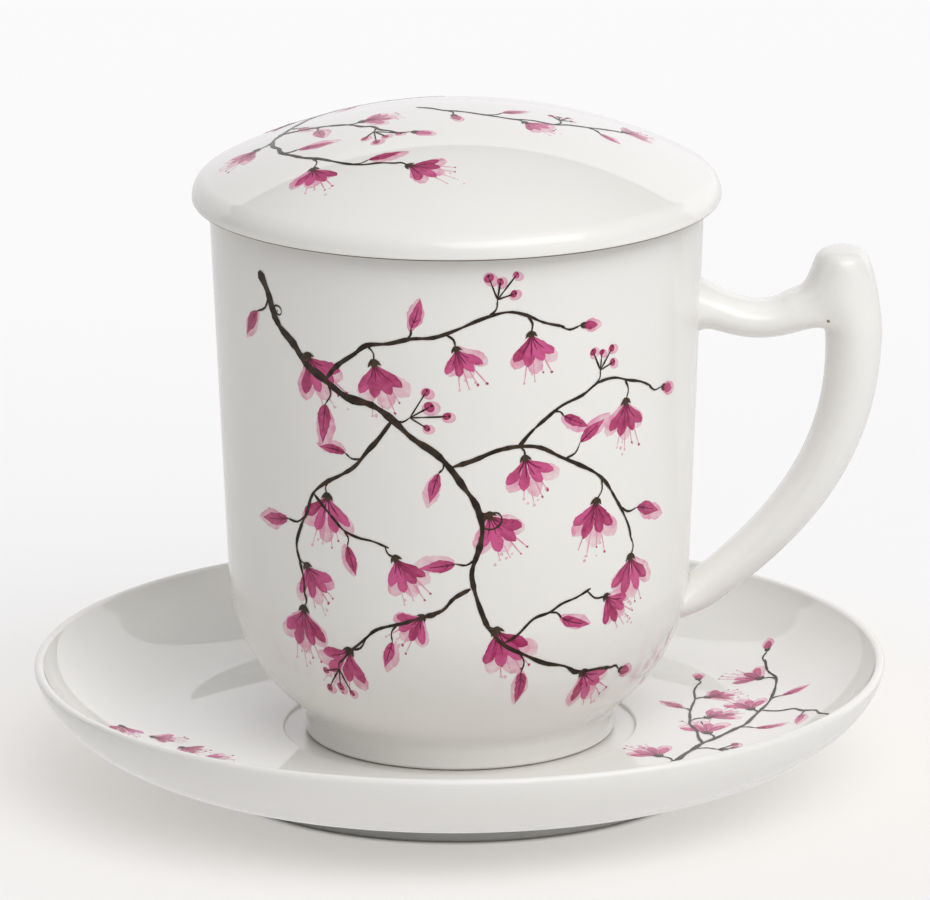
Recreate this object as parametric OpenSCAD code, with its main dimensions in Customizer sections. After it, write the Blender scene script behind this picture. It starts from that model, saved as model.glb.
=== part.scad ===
// Lidded tea mug with a steel infuser, standing on its saucer.
// Origin: centre of the saucer's foot ring, on the table. +Z is up and the handle points along +X.

/* [Saucer] */
// Outside diameter of the saucer
saucer_d = 150; // [140:1:176]
// Height of the saucer's rim above the table
saucer_h = 21; // [18:0.5:28]
// Outside diameter of the foot ring
saucer_ring_d = 86.6; // [78:0.2:98]
// Width of the foot ring
saucer_ring_w = 3.2; // [2.4:0.1:5]
// Height of the foot ring
saucer_ring_h = 4; // [3:0.1:6]
// Thickness of the saucer under the mug
saucer_floor_t = 4; // [3:0.1:6]
// Thickness of the saucer at its rim
saucer_rim_t = 2.8; // [2:0.1:4]
// How far the side of the dish leans out at the rim, in degrees
saucer_lean = 7; // [2:1:16]
// Depth of the round well that the mug stands in
saucer_well_h = 0.7; // [0.4:0.1:1.5]
// Width of the slope around the well
saucer_well_slope = 0.6; // [0.3:0.1:1.5]

/* [Mug] */
// Height of the mug, from its foot to its rim
mug_h = 97; // [86:1:114]
// Outside diameter at the rim
mug_rim_d = 86.4; // [80:0.2:96]
// Outside diameter where the side turns into the round bottom
mug_belly_d = 81; // [75:0.2:88]
// Radius of the round bottom
mug_round_r = 30; // [25:1:34]
// Outside diameter of the foot
mug_foot_d = 54.4; // [48:0.2:62]
// Height of the foot
mug_foot_h = 4.2; // [3:0.1:7]
// Radius of the hollow between the foot and the round bottom
mug_foot_fillet = 1.5; // [0.8:0.1:3]
// Width of the ring that the mug stands on
mug_foot_w = 4; // [2.5:0.1:6]
// Depth of the recess under the mug
mug_recess_h = 2.5; // [1:0.1:3.5]
// Thickness of the side
mug_wall = 3; // [2.2:0.1:4.2]
// Thickness of the bottom
mug_floor_t = 4; // [3:0.1:6]

/* [Handle] */
// Reach of the handle beyond the rim
handle_reach = 31.4; // [26:0.2:40]
// Height of the thumb rest above the mug's foot
thumb_h = 88; // [83:0.5:96]
// How far the thumb rest stands back from the widest point of the grip
thumb_back = 2.4; // [0:0.1:4]
// Thickness of the thumb rest, seen from the side
thumb_t = 9.2; // [8:0.1:12]
// Width of the thumb rest, across the fingers
thumb_w = 12.6; // [10:0.2:16]
// Height of the dome on top of the thumb rest
thumb_dome_h = 3; // [2:0.1:4]
// Height of the widest point of the grip
grip_h = 71; // [62:0.5:74]
// Thickness of the grip, seen from the side
grip_t = 9.7; // [8:0.1:12]
// Width of the grip, across the fingers
grip_w = 13; // [10:0.2:16]
// Height at which the grip's tail runs into the side
tail_h = 24.2; // [21:0.2:30]
// Slope of the tail, in degrees
tail_slope = 34; // [26:1:44]
// Thickness of the tail, seen from the side
tail_t = 7.2; // [6:0.1:9]
// Width of the tail, across the fingers
tail_w = 11; // [9:0.2:14]
// Height at which the arm leaves the side
arm_h = 78.3; // [74:0.2:81]
// How far the arm sags on its way to the grip
arm_sag = 3.6; // [2:0.1:5]
// Thickness of the arm, seen from the side
arm_t = 7.2; // [6:0.1:9]
// Width of the arm, across the fingers
arm_w = 11; // [9:0.2:12]
// How much thicker and wider the arm is where it leaves the side
arm_root_flare = 2.4; // [1:0.1:4]
// How much the arm rises where it meets the grip
arm_end_flare = 5; // [2:0.1:6]
// Diameter of the casting vent under the arm
vent_d = 0.9; // [0.6:0.1:1.4]
// Depth of the casting vent
vent_depth = 3; // [1:0.5:4]
// How far the vent stands in front of the handle's middle
vent_offset = 3.2; // [1:0.2:4]
// How far the vent turns towards the middle, in degrees
vent_turn = 20; // [0:5:40]

/* [Infuser] */
// Thickness of the basket's sheet
infuser_t = 0.6; // [0.4:0.1:1]
// Thickness of the flange that rests on the mug's rim
flange_t = 0.8; // [0.6:0.1:1.2]
// Height of the collar under the flange
collar_h = 6; // [4:0.5:9]
// How much smaller the basket's radius is at its base
basket_taper = 7.5; // [4:0.5:11]
// Free height for the tea under the basket
tea_space = 22; // [16:1:34]
// Height of one strainer slit
slit_h = 0.9; // [0.5:0.1:1.2]
// Length of one strainer slit at the base of the basket
slit_len = 7; // [4:0.5:8]
// Strainer slits in one row
slit_columns = 18; // [12:1:20]
// Distance between the rows of slits
slit_pitch = 4.2; // [3:0.1:7]
// Diameter of one hole in the base
hole_d = 1.8; // [1.2:0.1:2.4]
// Distance between the rings of holes in the base
hole_pitch = 5.4; // [4.6:0.1:7]

/* [Lid] */
// How far the lid stands out beyond the mug's rim
lid_overhang = 3; // [2.4:0.1:4.5]
// Height of the crown above the flange
lid_rise = 13.9; // [11:0.1:18]
// How far the lip hangs down beside the rim
lid_lip_h = 1.7; // [1.2:0.1:3]
// Radius of the lid's shoulder
lid_edge_r = 5; // [4:0.1:6.5]
// Radius of the lip's lower edge
lid_lip_r = 0.6; // [0.4:0.1:0.8]
// Thickness of the crown
lid_t = 3.2; // [2.6:0.1:4]
// Depth of the ring that centres the lid
lid_ring_h = 5; // [3:0.1:7]
// Thickness of that ring
lid_ring_t = 2.6; // [2:0.1:3.4]
// Rounding of that ring's lower edges
lid_ring_edge_r = 0.9; // [0.4:0.1:1]

/* [Fits] */
// Gap between pieces that rest on each other
rest_gap = 0.1; // [0.05:0.01:0.2]
// Gap around the mug's foot in the saucer's well
well_gap = 3.8; // [2:0.1:6]
// Gap between the infuser's collar and the mug's inside
infuser_gap = 1; // [0.6:0.1:1.4]
// Gap between the flange's edge and the outside of the rim
flange_setback = 0.6; // [0.3:0.1:1]
// Gap between the lid's lip and the outside of the rim
lip_gap = 0.8; // [0.5:0.1:1.2]
// Gap between the lid's ring and the inside of the basket
ring_gap = 0.9; // [0.5:0.1:1.5]
// Seam between welded sheets
weld_gap = 0.05; // [0.02:0.01:0.1]
// How deep the handle's ends are luted into the side
lute_depth = 0.3; // [0.1:0.05:0.6]

/* [Hidden] */
$fn = 144;

edge_r = 0.6;             // rounding of the edges that stand on something
arc_steps = 18;           // straight pieces in a drawn arc
edge_steps = 6;           // straight pieces in a rounded edge
ring_sides = 28;          // corners of one section through the handle
dome_steps = 4;           // sections in the thumb rest's dome
dome_end_a = 80;          // where the dome's last section closes it, in degrees
added_holes = 6;          // holes that each ring in the base has more than the one inside it
pull = 0.38;              // how far a curve's control points lie along its span
past = 1;                 // how far a cutting shape runs past what it cuts
porcelain = [0.95, 0.94, 0.91];
steel = [0.72, 0.73, 0.74];

// Heights at which the pieces rest on each other
mug_z = saucer_ring_h + saucer_floor_t + rest_gap;
rim_z = mug_z + mug_h;
flange_z = rim_z + rest_gap;
lid_z = flange_z + flange_t + rest_gap;

// Saucer: the curve of the underside starts over the middle of the foot ring
saucer_r = saucer_d / 2;
saucer_ring_r = saucer_ring_d / 2;
saucer_curve_r = saucer_ring_r - saucer_ring_w / 2;
saucer_top_z = saucer_ring_h + saucer_floor_t + saucer_well_h;
saucer_well_r = mug_foot_d / 2 + well_gap;

// Mug: a round bottom and a straight, slightly flared side that leaves it without a corner
mug_rim_r = mug_rim_d / 2;
mug_foot_r = mug_foot_d / 2;
round_x = mug_belly_d / 2 - mug_round_r;
fillet_x = mug_foot_r + mug_foot_fillet;
fillet_drop = sqrt(pow(mug_round_r + mug_foot_fillet, 2) - pow(fillet_x - round_x, 2));
round_z = mug_foot_h + fillet_drop;
round_low_a = atan2(-fillet_drop, fillet_x - round_x);
lip_r = mug_wall / 2;
side_run = [mug_rim_r - round_x, mug_h - lip_r - round_z];
side_a = atan2(side_run[1], side_run[0]) - acos(mug_round_r / norm(side_run));
inner_floor_z = mug_recess_h + mug_floor_t;
inner_floor_a = -asin((round_z - inner_floor_z) / (mug_round_r - mug_wall));

// Infuser: measured from the inside of the mug at the collar's lower edge
mug_inner_r = mug_rim_r - mug_wall;
side_flare = (side_run[0] - mug_round_r * cos(side_a)) / (side_run[1] - mug_round_r * sin(side_a));
collar_r = mug_inner_r - side_flare * collar_h - infuser_gap;
basket_r = collar_r - infuser_t - weld_gap;
basket_low_r = basket_r - basket_taper;
basket_low_z = mug_z + inner_floor_z + tea_space;
basket_h = flange_z - basket_low_z;
cone_h = basket_h - collar_h;
slit_rows = floor(cone_h / slit_pitch - 1);
slit_a = 360 * slit_len / (2 * PI * basket_low_r);
base_r = basket_low_r - infuser_t - weld_gap;
hole_rings = floor((base_r - hole_d) / hole_pitch);

// Handle, in the mug's own frame: its widest point, thumb rest and ends, as [x, z]
grip_at = [mug_rim_r + handle_reach - grip_t / 2, grip_h];
thumb_at = [grip_at[0] - thumb_back, thumb_h - thumb_dome_h];
tail_at = [mug_belly_d / 2, tail_h];
tail_dir = [cos(tail_slope), sin(tail_slope)];
root_depth = mug_wall + tail_t / 2;
arm_start = [mug_rim_r - mug_wall, arm_h];
arm_end = [thumb_at[0], arm_h + arm_end_flare / 2];

// Lid: crown and shoulder are two arcs that meet without a corner
lid_r = mug_rim_r + lid_overhang;
lid_apex_z = lid_z + lid_rise;
lid_lip_z = lid_z - lid_lip_h;
lid_wide_z = lid_lip_z + lid_lip_r;
crown_h = lid_apex_z - lid_wide_z;
shoulder_x = lid_r - lid_edge_r;
crown_r = (pow(shoulder_x, 2) + pow(crown_h, 2) - pow(lid_edge_r, 2)) / (2 * (crown_h - lid_edge_r));
crown_z = lid_apex_z - crown_r;
crown_a = atan2(lid_wide_z - crown_z, shoulder_x);
lid_skirt_r = mug_rim_r + lip_gap;
lid_ring_r = basket_r - infuser_t - ring_gap;
lid_ring_in_r = lid_ring_r - lid_ring_t;
lid_roof_a = acos(lid_ring_in_r / (crown_r - lid_t));

// Points along an arc of an oval in the plane of a profile, from one angle to another
function arc(x, z, rx, rz, from, to, steps = arc_steps) =
    [for (i = [0:steps]) let (a = from + (to - from) * i / steps) [x + rx * cos(a), z + rz * sin(a)]];

// A point and a direction on a cubic curve with four control points
function curve(p, t) =
    pow(1 - t, 3) * p[0] + 3 * pow(1 - t, 2) * t * p[1] + 3 * (1 - t) * t * t * p[2] + pow(t, 3) * p[3];
function heading(p, t) =
    pow(1 - t, 2) * (p[1] - p[0]) + 2 * (1 - t) * t * (p[2] - p[1]) + t * t * (p[3] - p[2]);
function blend(a, b, t) = a + (b - a) * t;

// Oval section at point c of the handle's plane, square to direction d, t thick and w wide
function section(c, d, t, w) =
    let (u = d / norm(d))
    [for (i = [0:ring_sides - 1]) let (a = 360 * i / ring_sides)
        [c[0] + u[1] * t / 2 * cos(a), w / 2 * sin(a), c[1] - u[0] * t / 2 * cos(a)]];

// Solid skin over a row of sections
module loft(rings) {
    last = (len(rings) - 1) * ring_sides;
    polyhedron(
        points = [for (r = rings, p = r) p],
        faces = concat(
            [[for (i = [0:ring_sides - 1]) i]],
            [for (k = [0:ring_sides:last - 1], i = [0:ring_sides - 1]) let (j = (i + 1) % ring_sides)
                [k + j, k + i, k + ring_sides + i]],
            [for (k = [0:ring_sides:last - 1], i = [0:ring_sides - 1]) let (j = (i + 1) % ring_sides)
                [k + j, k + ring_sides + i, k + ring_sides + j]],
            [[for (i = [ring_sides - 1:-1:0]) last + i]]));
}

// Side of the mug from the fillet over the foot up to the rim, moved inwards by inset
function mug_side(inset) =
    concat(
        arc(round_x, round_z, mug_round_r - inset, mug_round_r - inset, round_low_a, side_a, 2 * arc_steps),
        [[mug_rim_r - inset, mug_h - lip_r]]);

module saucer() {
    rim_r = saucer_rim_t / 2;
    side_z = saucer_h - rim_r;
    out_x = (saucer_r - saucer_curve_r) / cos(saucer_lean);
    out_z = (side_z - saucer_ring_h) / (1 - sin(saucer_lean));
    in_x = (saucer_r - saucer_rim_t - saucer_curve_r) / cos(saucer_lean);
    in_z = (side_z - saucer_top_z) / (1 - sin(saucer_lean));
    ring_in_r = saucer_ring_r - saucer_ring_w;
    color(porcelain)
    rotate_extrude()
    polygon(concat(
        [[0, saucer_ring_h], [ring_in_r, saucer_ring_h]],
        arc(ring_in_r + edge_r, edge_r, edge_r, edge_r, 180, 270, edge_steps),
        arc(saucer_ring_r - edge_r, edge_r, edge_r, edge_r, 270, 360, edge_steps),
        [for (p = arc(saucer_curve_r, saucer_ring_h + out_z, out_x, out_z, -90, -saucer_lean, 2 * arc_steps))
            if (p[0] > saucer_ring_r) p],
        arc(saucer_r - rim_r, side_z, rim_r, rim_r, 0, 180, 2 * edge_steps),
        arc(saucer_curve_r, saucer_top_z + in_z, in_x, in_z, -saucer_lean, -90, 2 * arc_steps),
        [[saucer_well_r + saucer_well_slope, saucer_top_z],
         [saucer_well_r, saucer_top_z - saucer_well_h],
         [0, saucer_top_z - saucer_well_h]]));
}

module mug_body() {
    foot_in_r = mug_foot_r - mug_foot_w;
    inner_r = mug_round_r - mug_wall;
    color(porcelain)
    translate([0, 0, mug_z])
    rotate_extrude()
    polygon(concat(
        [[0, mug_recess_h], [foot_in_r, mug_recess_h]],
        arc(foot_in_r + edge_r, edge_r, edge_r, edge_r, 180, 270, edge_steps),
        arc(mug_foot_r - edge_r, edge_r, edge_r, edge_r, 270, 360, edge_steps),
        arc(fillet_x, mug_foot_h, mug_foot_fillet, mug_foot_fillet, 180, round_low_a + 180, edge_steps),
        mug_side(0),
        arc(mug_rim_r - lip_r, mug_h - lip_r, lip_r, lip_r, 0, 180, 2 * edge_steps),
        arc(round_x, round_z, inner_r, inner_r, side_a, inner_floor_a, 2 * arc_steps),
        [[0, inner_floor_z]]));
}

// What the handle's ends are cut to: the outside of the mug, a lute deep
module mug_core() {
    rotate_extrude()
    polygon(concat([[0, mug_foot_h]], mug_side(lute_depth), [[0, mug_h]]));
}

module mug_handle() {
    rise = [0, (thumb_at[1] - grip_at[1]) / 3];
    span = norm(grip_at - tail_at);
    run = arm_end[0] - arm_start[0];
    sag = arm_sag / 0.75;   // a cubic curve reaches 3/4 of the way to its two control points
    upper = [thumb_at, thumb_at - rise, grip_at + rise, grip_at];
    lower = [grip_at, grip_at - [0, pull * span], tail_at + tail_dir * pull * span, tail_at];
    arm = [arm_start, arm_start + [pull * run, -sag],
           arm_end - [pull * run, sag + arm_end_flare / 2], arm_end];
    grip_rings = concat(
        [for (i = [dome_steps:-1:0]) let (a = dome_end_a * i / dome_steps)
            section(thumb_at + [0, thumb_dome_h * sin(a)], [0, -1], thumb_t * cos(a), thumb_w * cos(a))],
        [for (i = [1:edge_steps]) let (t = i / edge_steps)
            section(curve(upper, t), heading(upper, t),
                blend(thumb_t, grip_t, t), blend(thumb_w, grip_w, t))],
        [for (i = [1:arc_steps]) let (t = i / arc_steps)
            section(curve(lower, t), heading(lower, t),
                blend(grip_t, tail_t, t), blend(grip_w, tail_w, t))],
        [section(tail_at - tail_dir * root_depth, -tail_dir, tail_t, tail_w)]);
    arm_rings =
        [for (i = [0:arc_steps]) let (t = i / arc_steps)
            section(curve(arm, t), heading(arm, t),
                arm_t + arm_root_flare * pow(1 - t, 4) + arm_end_flare * pow(t, 4),
                arm_w + arm_root_flare * pow(1 - t, 4))];
    color(porcelain)
    translate([0, 0, mug_z])
    difference() {
        union() {
            loft(grip_rings);
            loft(arm_rings);
        }
        mug_core();
        translate([grip_at[0] - grip_t / 2 - past, -vent_offset, arm_h - arm_t / 2 - vent_d])
        rotate([0, 90, vent_turn])
        cylinder(d = vent_d, h = vent_depth + past);
    }
}

module infuser_rim() {
    flange_r = mug_rim_r - flange_setback;
    color(steel)
    translate([0, 0, flange_z])
    rotate_extrude()
    polygon(concat(
        [[collar_r - infuser_t, -collar_h], [collar_r, -collar_h], [collar_r, 0]],
        arc(flange_r - flange_t / 2, flange_t / 2, flange_t / 2, flange_t / 2, -90, 90, edge_steps),
        [[collar_r - infuser_t, flange_t]]));
}

module infuser_basket() {
    color(steel)
    translate([0, 0, basket_low_z])
    difference() {
        rotate_extrude()
        polygon([
            [basket_low_r - infuser_t, 0],
            [basket_low_r, 0],
            [basket_r, cone_h],
            [basket_r, basket_h],
            [basket_r - infuser_t, basket_h],
            [basket_r - infuser_t, cone_h]]);
        for (row = [1:slit_rows], column = [0:slit_columns - 1])
            rotate([0, 0, 360 * (column + (row % 2) / 2) / slit_columns])
            rotate_extrude(angle = slit_a)
            translate([basket_low_r - infuser_t - past, row * slit_pitch])
            square([basket_taper + infuser_t + 2 * past, slit_h]);
    }
}

module infuser_base() {
    color(steel)
    translate([0, 0, basket_low_z])
    difference() {
        cylinder(r = base_r, h = infuser_t);
        for (ring = [0:hole_rings], holes = max(1, added_holes * ring), i = [0:holes - 1])
            rotate([0, 0, 360 * i / holes])
            translate([ring * hole_pitch, 0, -past])
            cylinder(d = hole_d, h = infuser_t + 2 * past);
    }
}

module lid() {
    edge_x = lid_ring_r - lid_ring_edge_r;
    edge_z = lid_z - lid_ring_h + lid_ring_edge_r;
    roof_r = crown_r - lid_t;
    color(porcelain)
    rotate_extrude()
    polygon(concat(
        arc(0, crown_z, roof_r, roof_r, 90, lid_roof_a),
        arc(lid_ring_in_r + lid_ring_edge_r, edge_z, lid_ring_edge_r, lid_ring_edge_r, 180, 270, edge_steps),
        arc(edge_x, edge_z, lid_ring_edge_r, lid_ring_edge_r, 270, 360, edge_steps),
        [[lid_ring_r, lid_z], [lid_skirt_r, lid_z]],
        arc(lid_skirt_r + lid_lip_r, lid_wide_z, lid_lip_r, lid_lip_r, 180, 270, edge_steps),
        arc(lid_r - lid_lip_r, lid_wide_z, lid_lip_r, lid_lip_r, 270, 360, edge_steps),
        arc(shoulder_x, lid_wide_z, lid_edge_r, lid_edge_r, 0, crown_a),
        arc(0, crown_z, crown_r, crown_r, crown_a, 90, 2 * arc_steps)));
}

saucer();
mug_body();
mug_handle();
infuser_rim();
infuser_basket();
infuser_base();
lid();
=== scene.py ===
import logging
import math
import random
from abc import ABC, abstractmethod
from collections.abc import Callable, Iterable, Mapping, Sequence
from dataclasses import dataclass, field
from enum import Enum

import bmesh
import bpy
from mathutils import Matrix, Vector


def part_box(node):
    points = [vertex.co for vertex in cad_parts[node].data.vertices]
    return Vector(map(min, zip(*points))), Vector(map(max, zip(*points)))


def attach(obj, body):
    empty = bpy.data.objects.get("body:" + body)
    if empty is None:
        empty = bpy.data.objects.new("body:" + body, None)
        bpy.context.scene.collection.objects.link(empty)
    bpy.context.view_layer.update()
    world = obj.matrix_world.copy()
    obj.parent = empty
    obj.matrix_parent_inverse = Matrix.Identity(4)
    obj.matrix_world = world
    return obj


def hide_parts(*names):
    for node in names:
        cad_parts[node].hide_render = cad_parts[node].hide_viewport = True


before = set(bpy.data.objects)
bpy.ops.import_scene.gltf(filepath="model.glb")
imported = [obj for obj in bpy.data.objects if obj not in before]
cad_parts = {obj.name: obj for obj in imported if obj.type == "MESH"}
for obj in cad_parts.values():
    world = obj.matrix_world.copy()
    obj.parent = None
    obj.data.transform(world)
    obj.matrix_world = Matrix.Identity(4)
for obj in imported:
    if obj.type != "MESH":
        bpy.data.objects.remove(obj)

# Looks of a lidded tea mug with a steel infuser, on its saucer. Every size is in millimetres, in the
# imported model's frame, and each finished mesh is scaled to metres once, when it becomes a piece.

LOG = logging.getLogger("tea_mug")
METRES = 0.001              # one millimetre
WELD = 1e-4                 # vertices this close are one vertex
TURN_STEPS = 192            # faces around a turned piece
ARC_STEPS = 28              # faces along a long arc of an outline
EDGE_STEPS = 8              # faces along a small rounding
SHARP_ANGLE = math.radians(38)
GLAZE_IOR = 1.5             # of the glaze, and of the ink in it
PHASES = 6.28               # about one turn, in radians, from which a wave's start is drawn

# Gives the spot and the tone at a share along a drawn shape, and from -1 to 1 across it
ShapeRule = Callable[[float, float], tuple[Vector, float]]


# ---------------------------------------------------------------- sizes read from the frame


@dataclass(frozen=True)
class Span:
    """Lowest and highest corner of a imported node, in millimetres."""

    low: Vector
    high: Vector

    @staticmethod
    def of(node: str) -> "Span":
        """Reads the box of a node.

        Args:
            node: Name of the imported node.

        Returns:
            Its span at rest.
        """
        low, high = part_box(node)
        return Span(low / METRES, high / METRES)


# ---------------------------------------------------------------- shader expressions


class Value:
    """A number in a shader, on which Python's arithmetic adds Math nodes."""

    def __init__(self, shader: "Shader", socket: bpy.types.NodeSocket | float) -> None:
        """Wraps a socket, or a plain number, of one shader."""
        self.shader = shader
        self.socket = socket

    def _math(self, operation: str, *others: "Value | float", clamp: bool = False) -> "Value":
        """Adds one Math node.

        Args:
            operation: The Math node's operation.
            others: Its further inputs.
            clamp: Whether the result is held between 0 and 1.

        Returns:
            The node's result.
        """
        inputs = dict(enumerate([self, *others]))
        node = self.shader.node("ShaderNodeMath", {"operation": operation, "use_clamp": clamp}, inputs)
        return Value(self.shader, node.outputs[0])

    def __add__(self, other: "Value | float") -> "Value":
        """Sum."""
        return self._math("ADD", other)

    __radd__ = __add__

    def __sub__(self, other: "Value | float") -> "Value":
        """Difference."""
        return self._math("SUBTRACT", other)

    def __rsub__(self, other: float) -> "Value":
        """Difference from a number."""
        return Value(self.shader, other)._math("SUBTRACT", self)

    def __mul__(self, other: "Value | float") -> "Value":
        """Product."""
        return self._math("MULTIPLY", other)

    __rmul__ = __mul__

    def __truediv__(self, other: "Value | float") -> "Value":
        """Quotient."""
        return self._math("DIVIDE", other)

    def __rtruediv__(self, other: float) -> "Value":
        """Quotient of a number."""
        return Value(self.shader, other)._math("DIVIDE", self)

    def __pow__(self, other: "Value | float") -> "Value":
        """Power."""
        return self._math("POWER", other)

    def __rpow__(self, other: float) -> "Value":
        """Power of a number."""
        return Value(self.shader, other)._math("POWER", self)

    def smooth(self, low: float, high: float) -> "Value":
        """A soft step from 0 at low to 1 at high, which may be the lower of the two."""
        share = ((self - low) / (high - low))._math("ADD", 0.0, clamp=True)
        return share * share * (3.0 - 2.0 * share)

    def clamped(self) -> "Value":
        """This value held between 0 and 1."""
        return self._math("ADD", 0.0, clamp=True)


class Shader:
    """Fills the node tree of a material or of the world."""

    def __init__(self, tree: bpy.types.NodeTree) -> None:
        """Empties the tree."""
        self.tree = tree
        tree.nodes.clear()

    def node(self, kind: str, settings: Mapping[str, object] | None = None,
             inputs: Mapping[str | int, object] | None = None) -> bpy.types.Node:
        """Adds a node.

        Args:
            kind: Blender's type name of the node.
            settings: Its properties, set first.
            inputs: Values or links of its sockets, by name, identifier or number.

        Returns:
            The node.
        """
        node = self.tree.nodes.new(kind)
        for name, setting in (settings or {}).items():
            setattr(node, name, setting)
        for key, value in (inputs or {}).items():
            self._feed(self._find(node.inputs, key), value)
        return node

    def out(self, kind: str, key: str | int, settings: Mapping[str, object] | None = None,
            inputs: Mapping[str | int, object] | None = None) -> Value:
        """Adds a node and returns one of its outputs as a value."""
        return Value(self, self._find(self.node(kind, settings, inputs).outputs, key))

    def mix(self, factor: Value | float, a: object, b: object) -> Value:
        """Mixes two colours.

        Args:
            factor: Share of b.
            a: Colour, or a value that holds one.
            b: Colour, or a value that holds one.

        Returns:
            The mixed colour.
        """
        settings = {"data_type": "RGBA", "clamp_factor": True}
        inputs = {"Factor_Float": factor, "A_Color": a, "B_Color": b}
        return self.out("ShaderNodeMix", "Result_Color", settings, inputs)

    def place(self) -> Value:
        """Object coordinates, in metres."""
        return self.out("ShaderNodeTexCoord", "Object")

    def noise(self, place: Value, scale: float, detail: float = 3.0, roughness: float = 0.5) -> Value:
        """Noise between 0 and 1 at a place."""
        inputs = {"Vector": place, "Scale": scale, "Detail": detail, "Roughness": roughness}
        return self.out("ShaderNodeTexNoise", 0, None, inputs)

    def axis(self, place: Value, key: str) -> Value:
        """One coordinate, X, Y or Z, of a place."""
        return self.out("ShaderNodeSeparateXYZ", key, None, {"Vector": place})

    @staticmethod
    def _find(sockets: Iterable[bpy.types.NodeSocket], key: str | int) -> bpy.types.NodeSocket:
        """Finds a socket by number, identifier or name.

        Args:
            sockets: The node's inputs or outputs.
            key: Number, identifier or name.

        Returns:
            The socket.
        """
        listed = list(sockets)
        if isinstance(key, int):
            return listed[key]
        return next(s for s in listed if key in (s.identifier, s.name))

    def _feed(self, socket: bpy.types.NodeSocket, value: object) -> None:
        """Links a value to a socket, or sets the socket's own number or colour.

        Args:
            socket: The input.
            value: Value, socket, number, vector or colour.
        """
        source = value.socket if isinstance(value, Value) else value
        if isinstance(source, bpy.types.NodeSocket):
            self.tree.links.new(source, socket)
        elif socket.type == "RGBA":
            socket.default_value = (*source, 1.0)
        else:
            socket.default_value = source


def new_material(name: str) -> tuple[bpy.types.Material, Shader]:
    """Adds a material.

    Args:
        name: Its name.

    Returns:
        The material and the shader that fills it.
    """
    material = bpy.data.materials.new(name)
    material.use_nodes = True
    return material, Shader(material.node_tree)


def end_surface(shader: Shader, surface: bpy.types.Node) -> None:
    """Links a surface shader to the material's output."""
    shader.node("ShaderNodeOutputMaterial", None, {"Surface": Value(shader, surface.outputs[0])})


# ---------------------------------------------------------------- finishes


@dataclass(frozen=True)
class Porcelain:
    """Clear gloss glaze over white porcelain, bare where the piece stood in the kiln, and painted dark
    brown along a low outer edge as the shade in a seam.
    """

    name: str = "porcelain"
    colour: tuple[float, float, float] = (0.868, 0.856, 0.823)
    pooled: tuple[float, float, float] = (0.847, 0.836, 0.800)
    roughness: float = 0.03
    bare_below: float = -1.0        # height under which the piece is unglazed, in millimetres
    bare_colour: tuple[float, float, float] = (0.74, 0.70, 0.63)
    bare_roughness: float = 0.75
    seam_shade_below: float = -1.0       # height under which its outer edge is painted dark brown, as the shade in a seam
    seam_shade_beyond: float = 44.0      # radius beyond which it is
    # Painted seam shade: a dark brown, like a bare edge in shadow, and its roughness
    seam_shade_colour: tuple[float, float, float] = (0.13, 0.085, 0.045)
    seam_shade_roughness: float = 0.5
    cloud_share: float = 0.6        # of the pooled colour in a cloud
    speck_share: float = 0.35       # of the bare colour in a speck
    bare_edge: float = 0.1          # half widths of the soft edges
    seam_shade_edge: float = 0.03
    seam_shade_fade: float = 0.3
    bump_strength: float = 0.35
    bump_depth: float = 0.00006     # metres

    def material(self) -> bpy.types.Material:
        """Builds the glaze: faint clouds and specks in its colour, and a trace of unevenness.

        Returns:
            The material.
        """
        material, shader = new_material(self.name)
        place = shader.place()
        clouds = shader.noise(place, 28.0, 4.0, 0.55)
        spots = shader.out("ShaderNodeTexVoronoi", "Distance", None, {"Vector": place, "Scale": 95.0})
        speck = (1.0 - (spots * 28.0).clamped()) * shader.noise(place, 60.0, 0.0).smooth(0.66, 0.7)
        glaze = shader.mix(clouds.smooth(0.35, 0.7) * self.cloud_share, self.colour, self.pooled)
        glaze = shader.mix(speck * self.speck_share, glaze, self.bare_colour)
        x, y, z = (shader.axis(place, key) / METRES for key in "XYZ")
        wavering = z + (clouds - 0.5) * 0.5
        bare = wavering.smooth(self.bare_below + self.bare_edge, self.bare_below - self.bare_edge)
        radius = (x * x + y * y) ** 0.5
        # Painted shade: a dark brown band along the low outer edge, where the shadow of a seam falls
        outer = radius.smooth(self.seam_shade_beyond, self.seam_shade_beyond + self.seam_shade_fade)
        stain_and_shade = z.smooth(self.seam_shade_below + self.seam_shade_edge, self.seam_shade_below - self.seam_shade_edge) * outer
        ripple = shader.noise(place, 70.0, 1.0) * 0.8 + shader.noise(place, 900.0, 2.0) * 0.05
        bump = shader.out("ShaderNodeBump", 0, None,
                          {"Strength": self.bump_strength, "Distance": self.bump_depth, "Height": ripple})
        surface = shader.node("ShaderNodeBsdfPrincipled", None, {
            "Base Color": shader.mix(stain_and_shade, shader.mix(bare, glaze, self.bare_colour), self.seam_shade_colour),
            "Roughness": (self.roughness + clouds * 0.02 + bare * self.bare_roughness
                          + stain_and_shade * self.seam_shade_roughness),
            "IOR": GLAZE_IOR,
            "Normal": bump,
        })
        end_surface(shader, surface)
        return material


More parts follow.
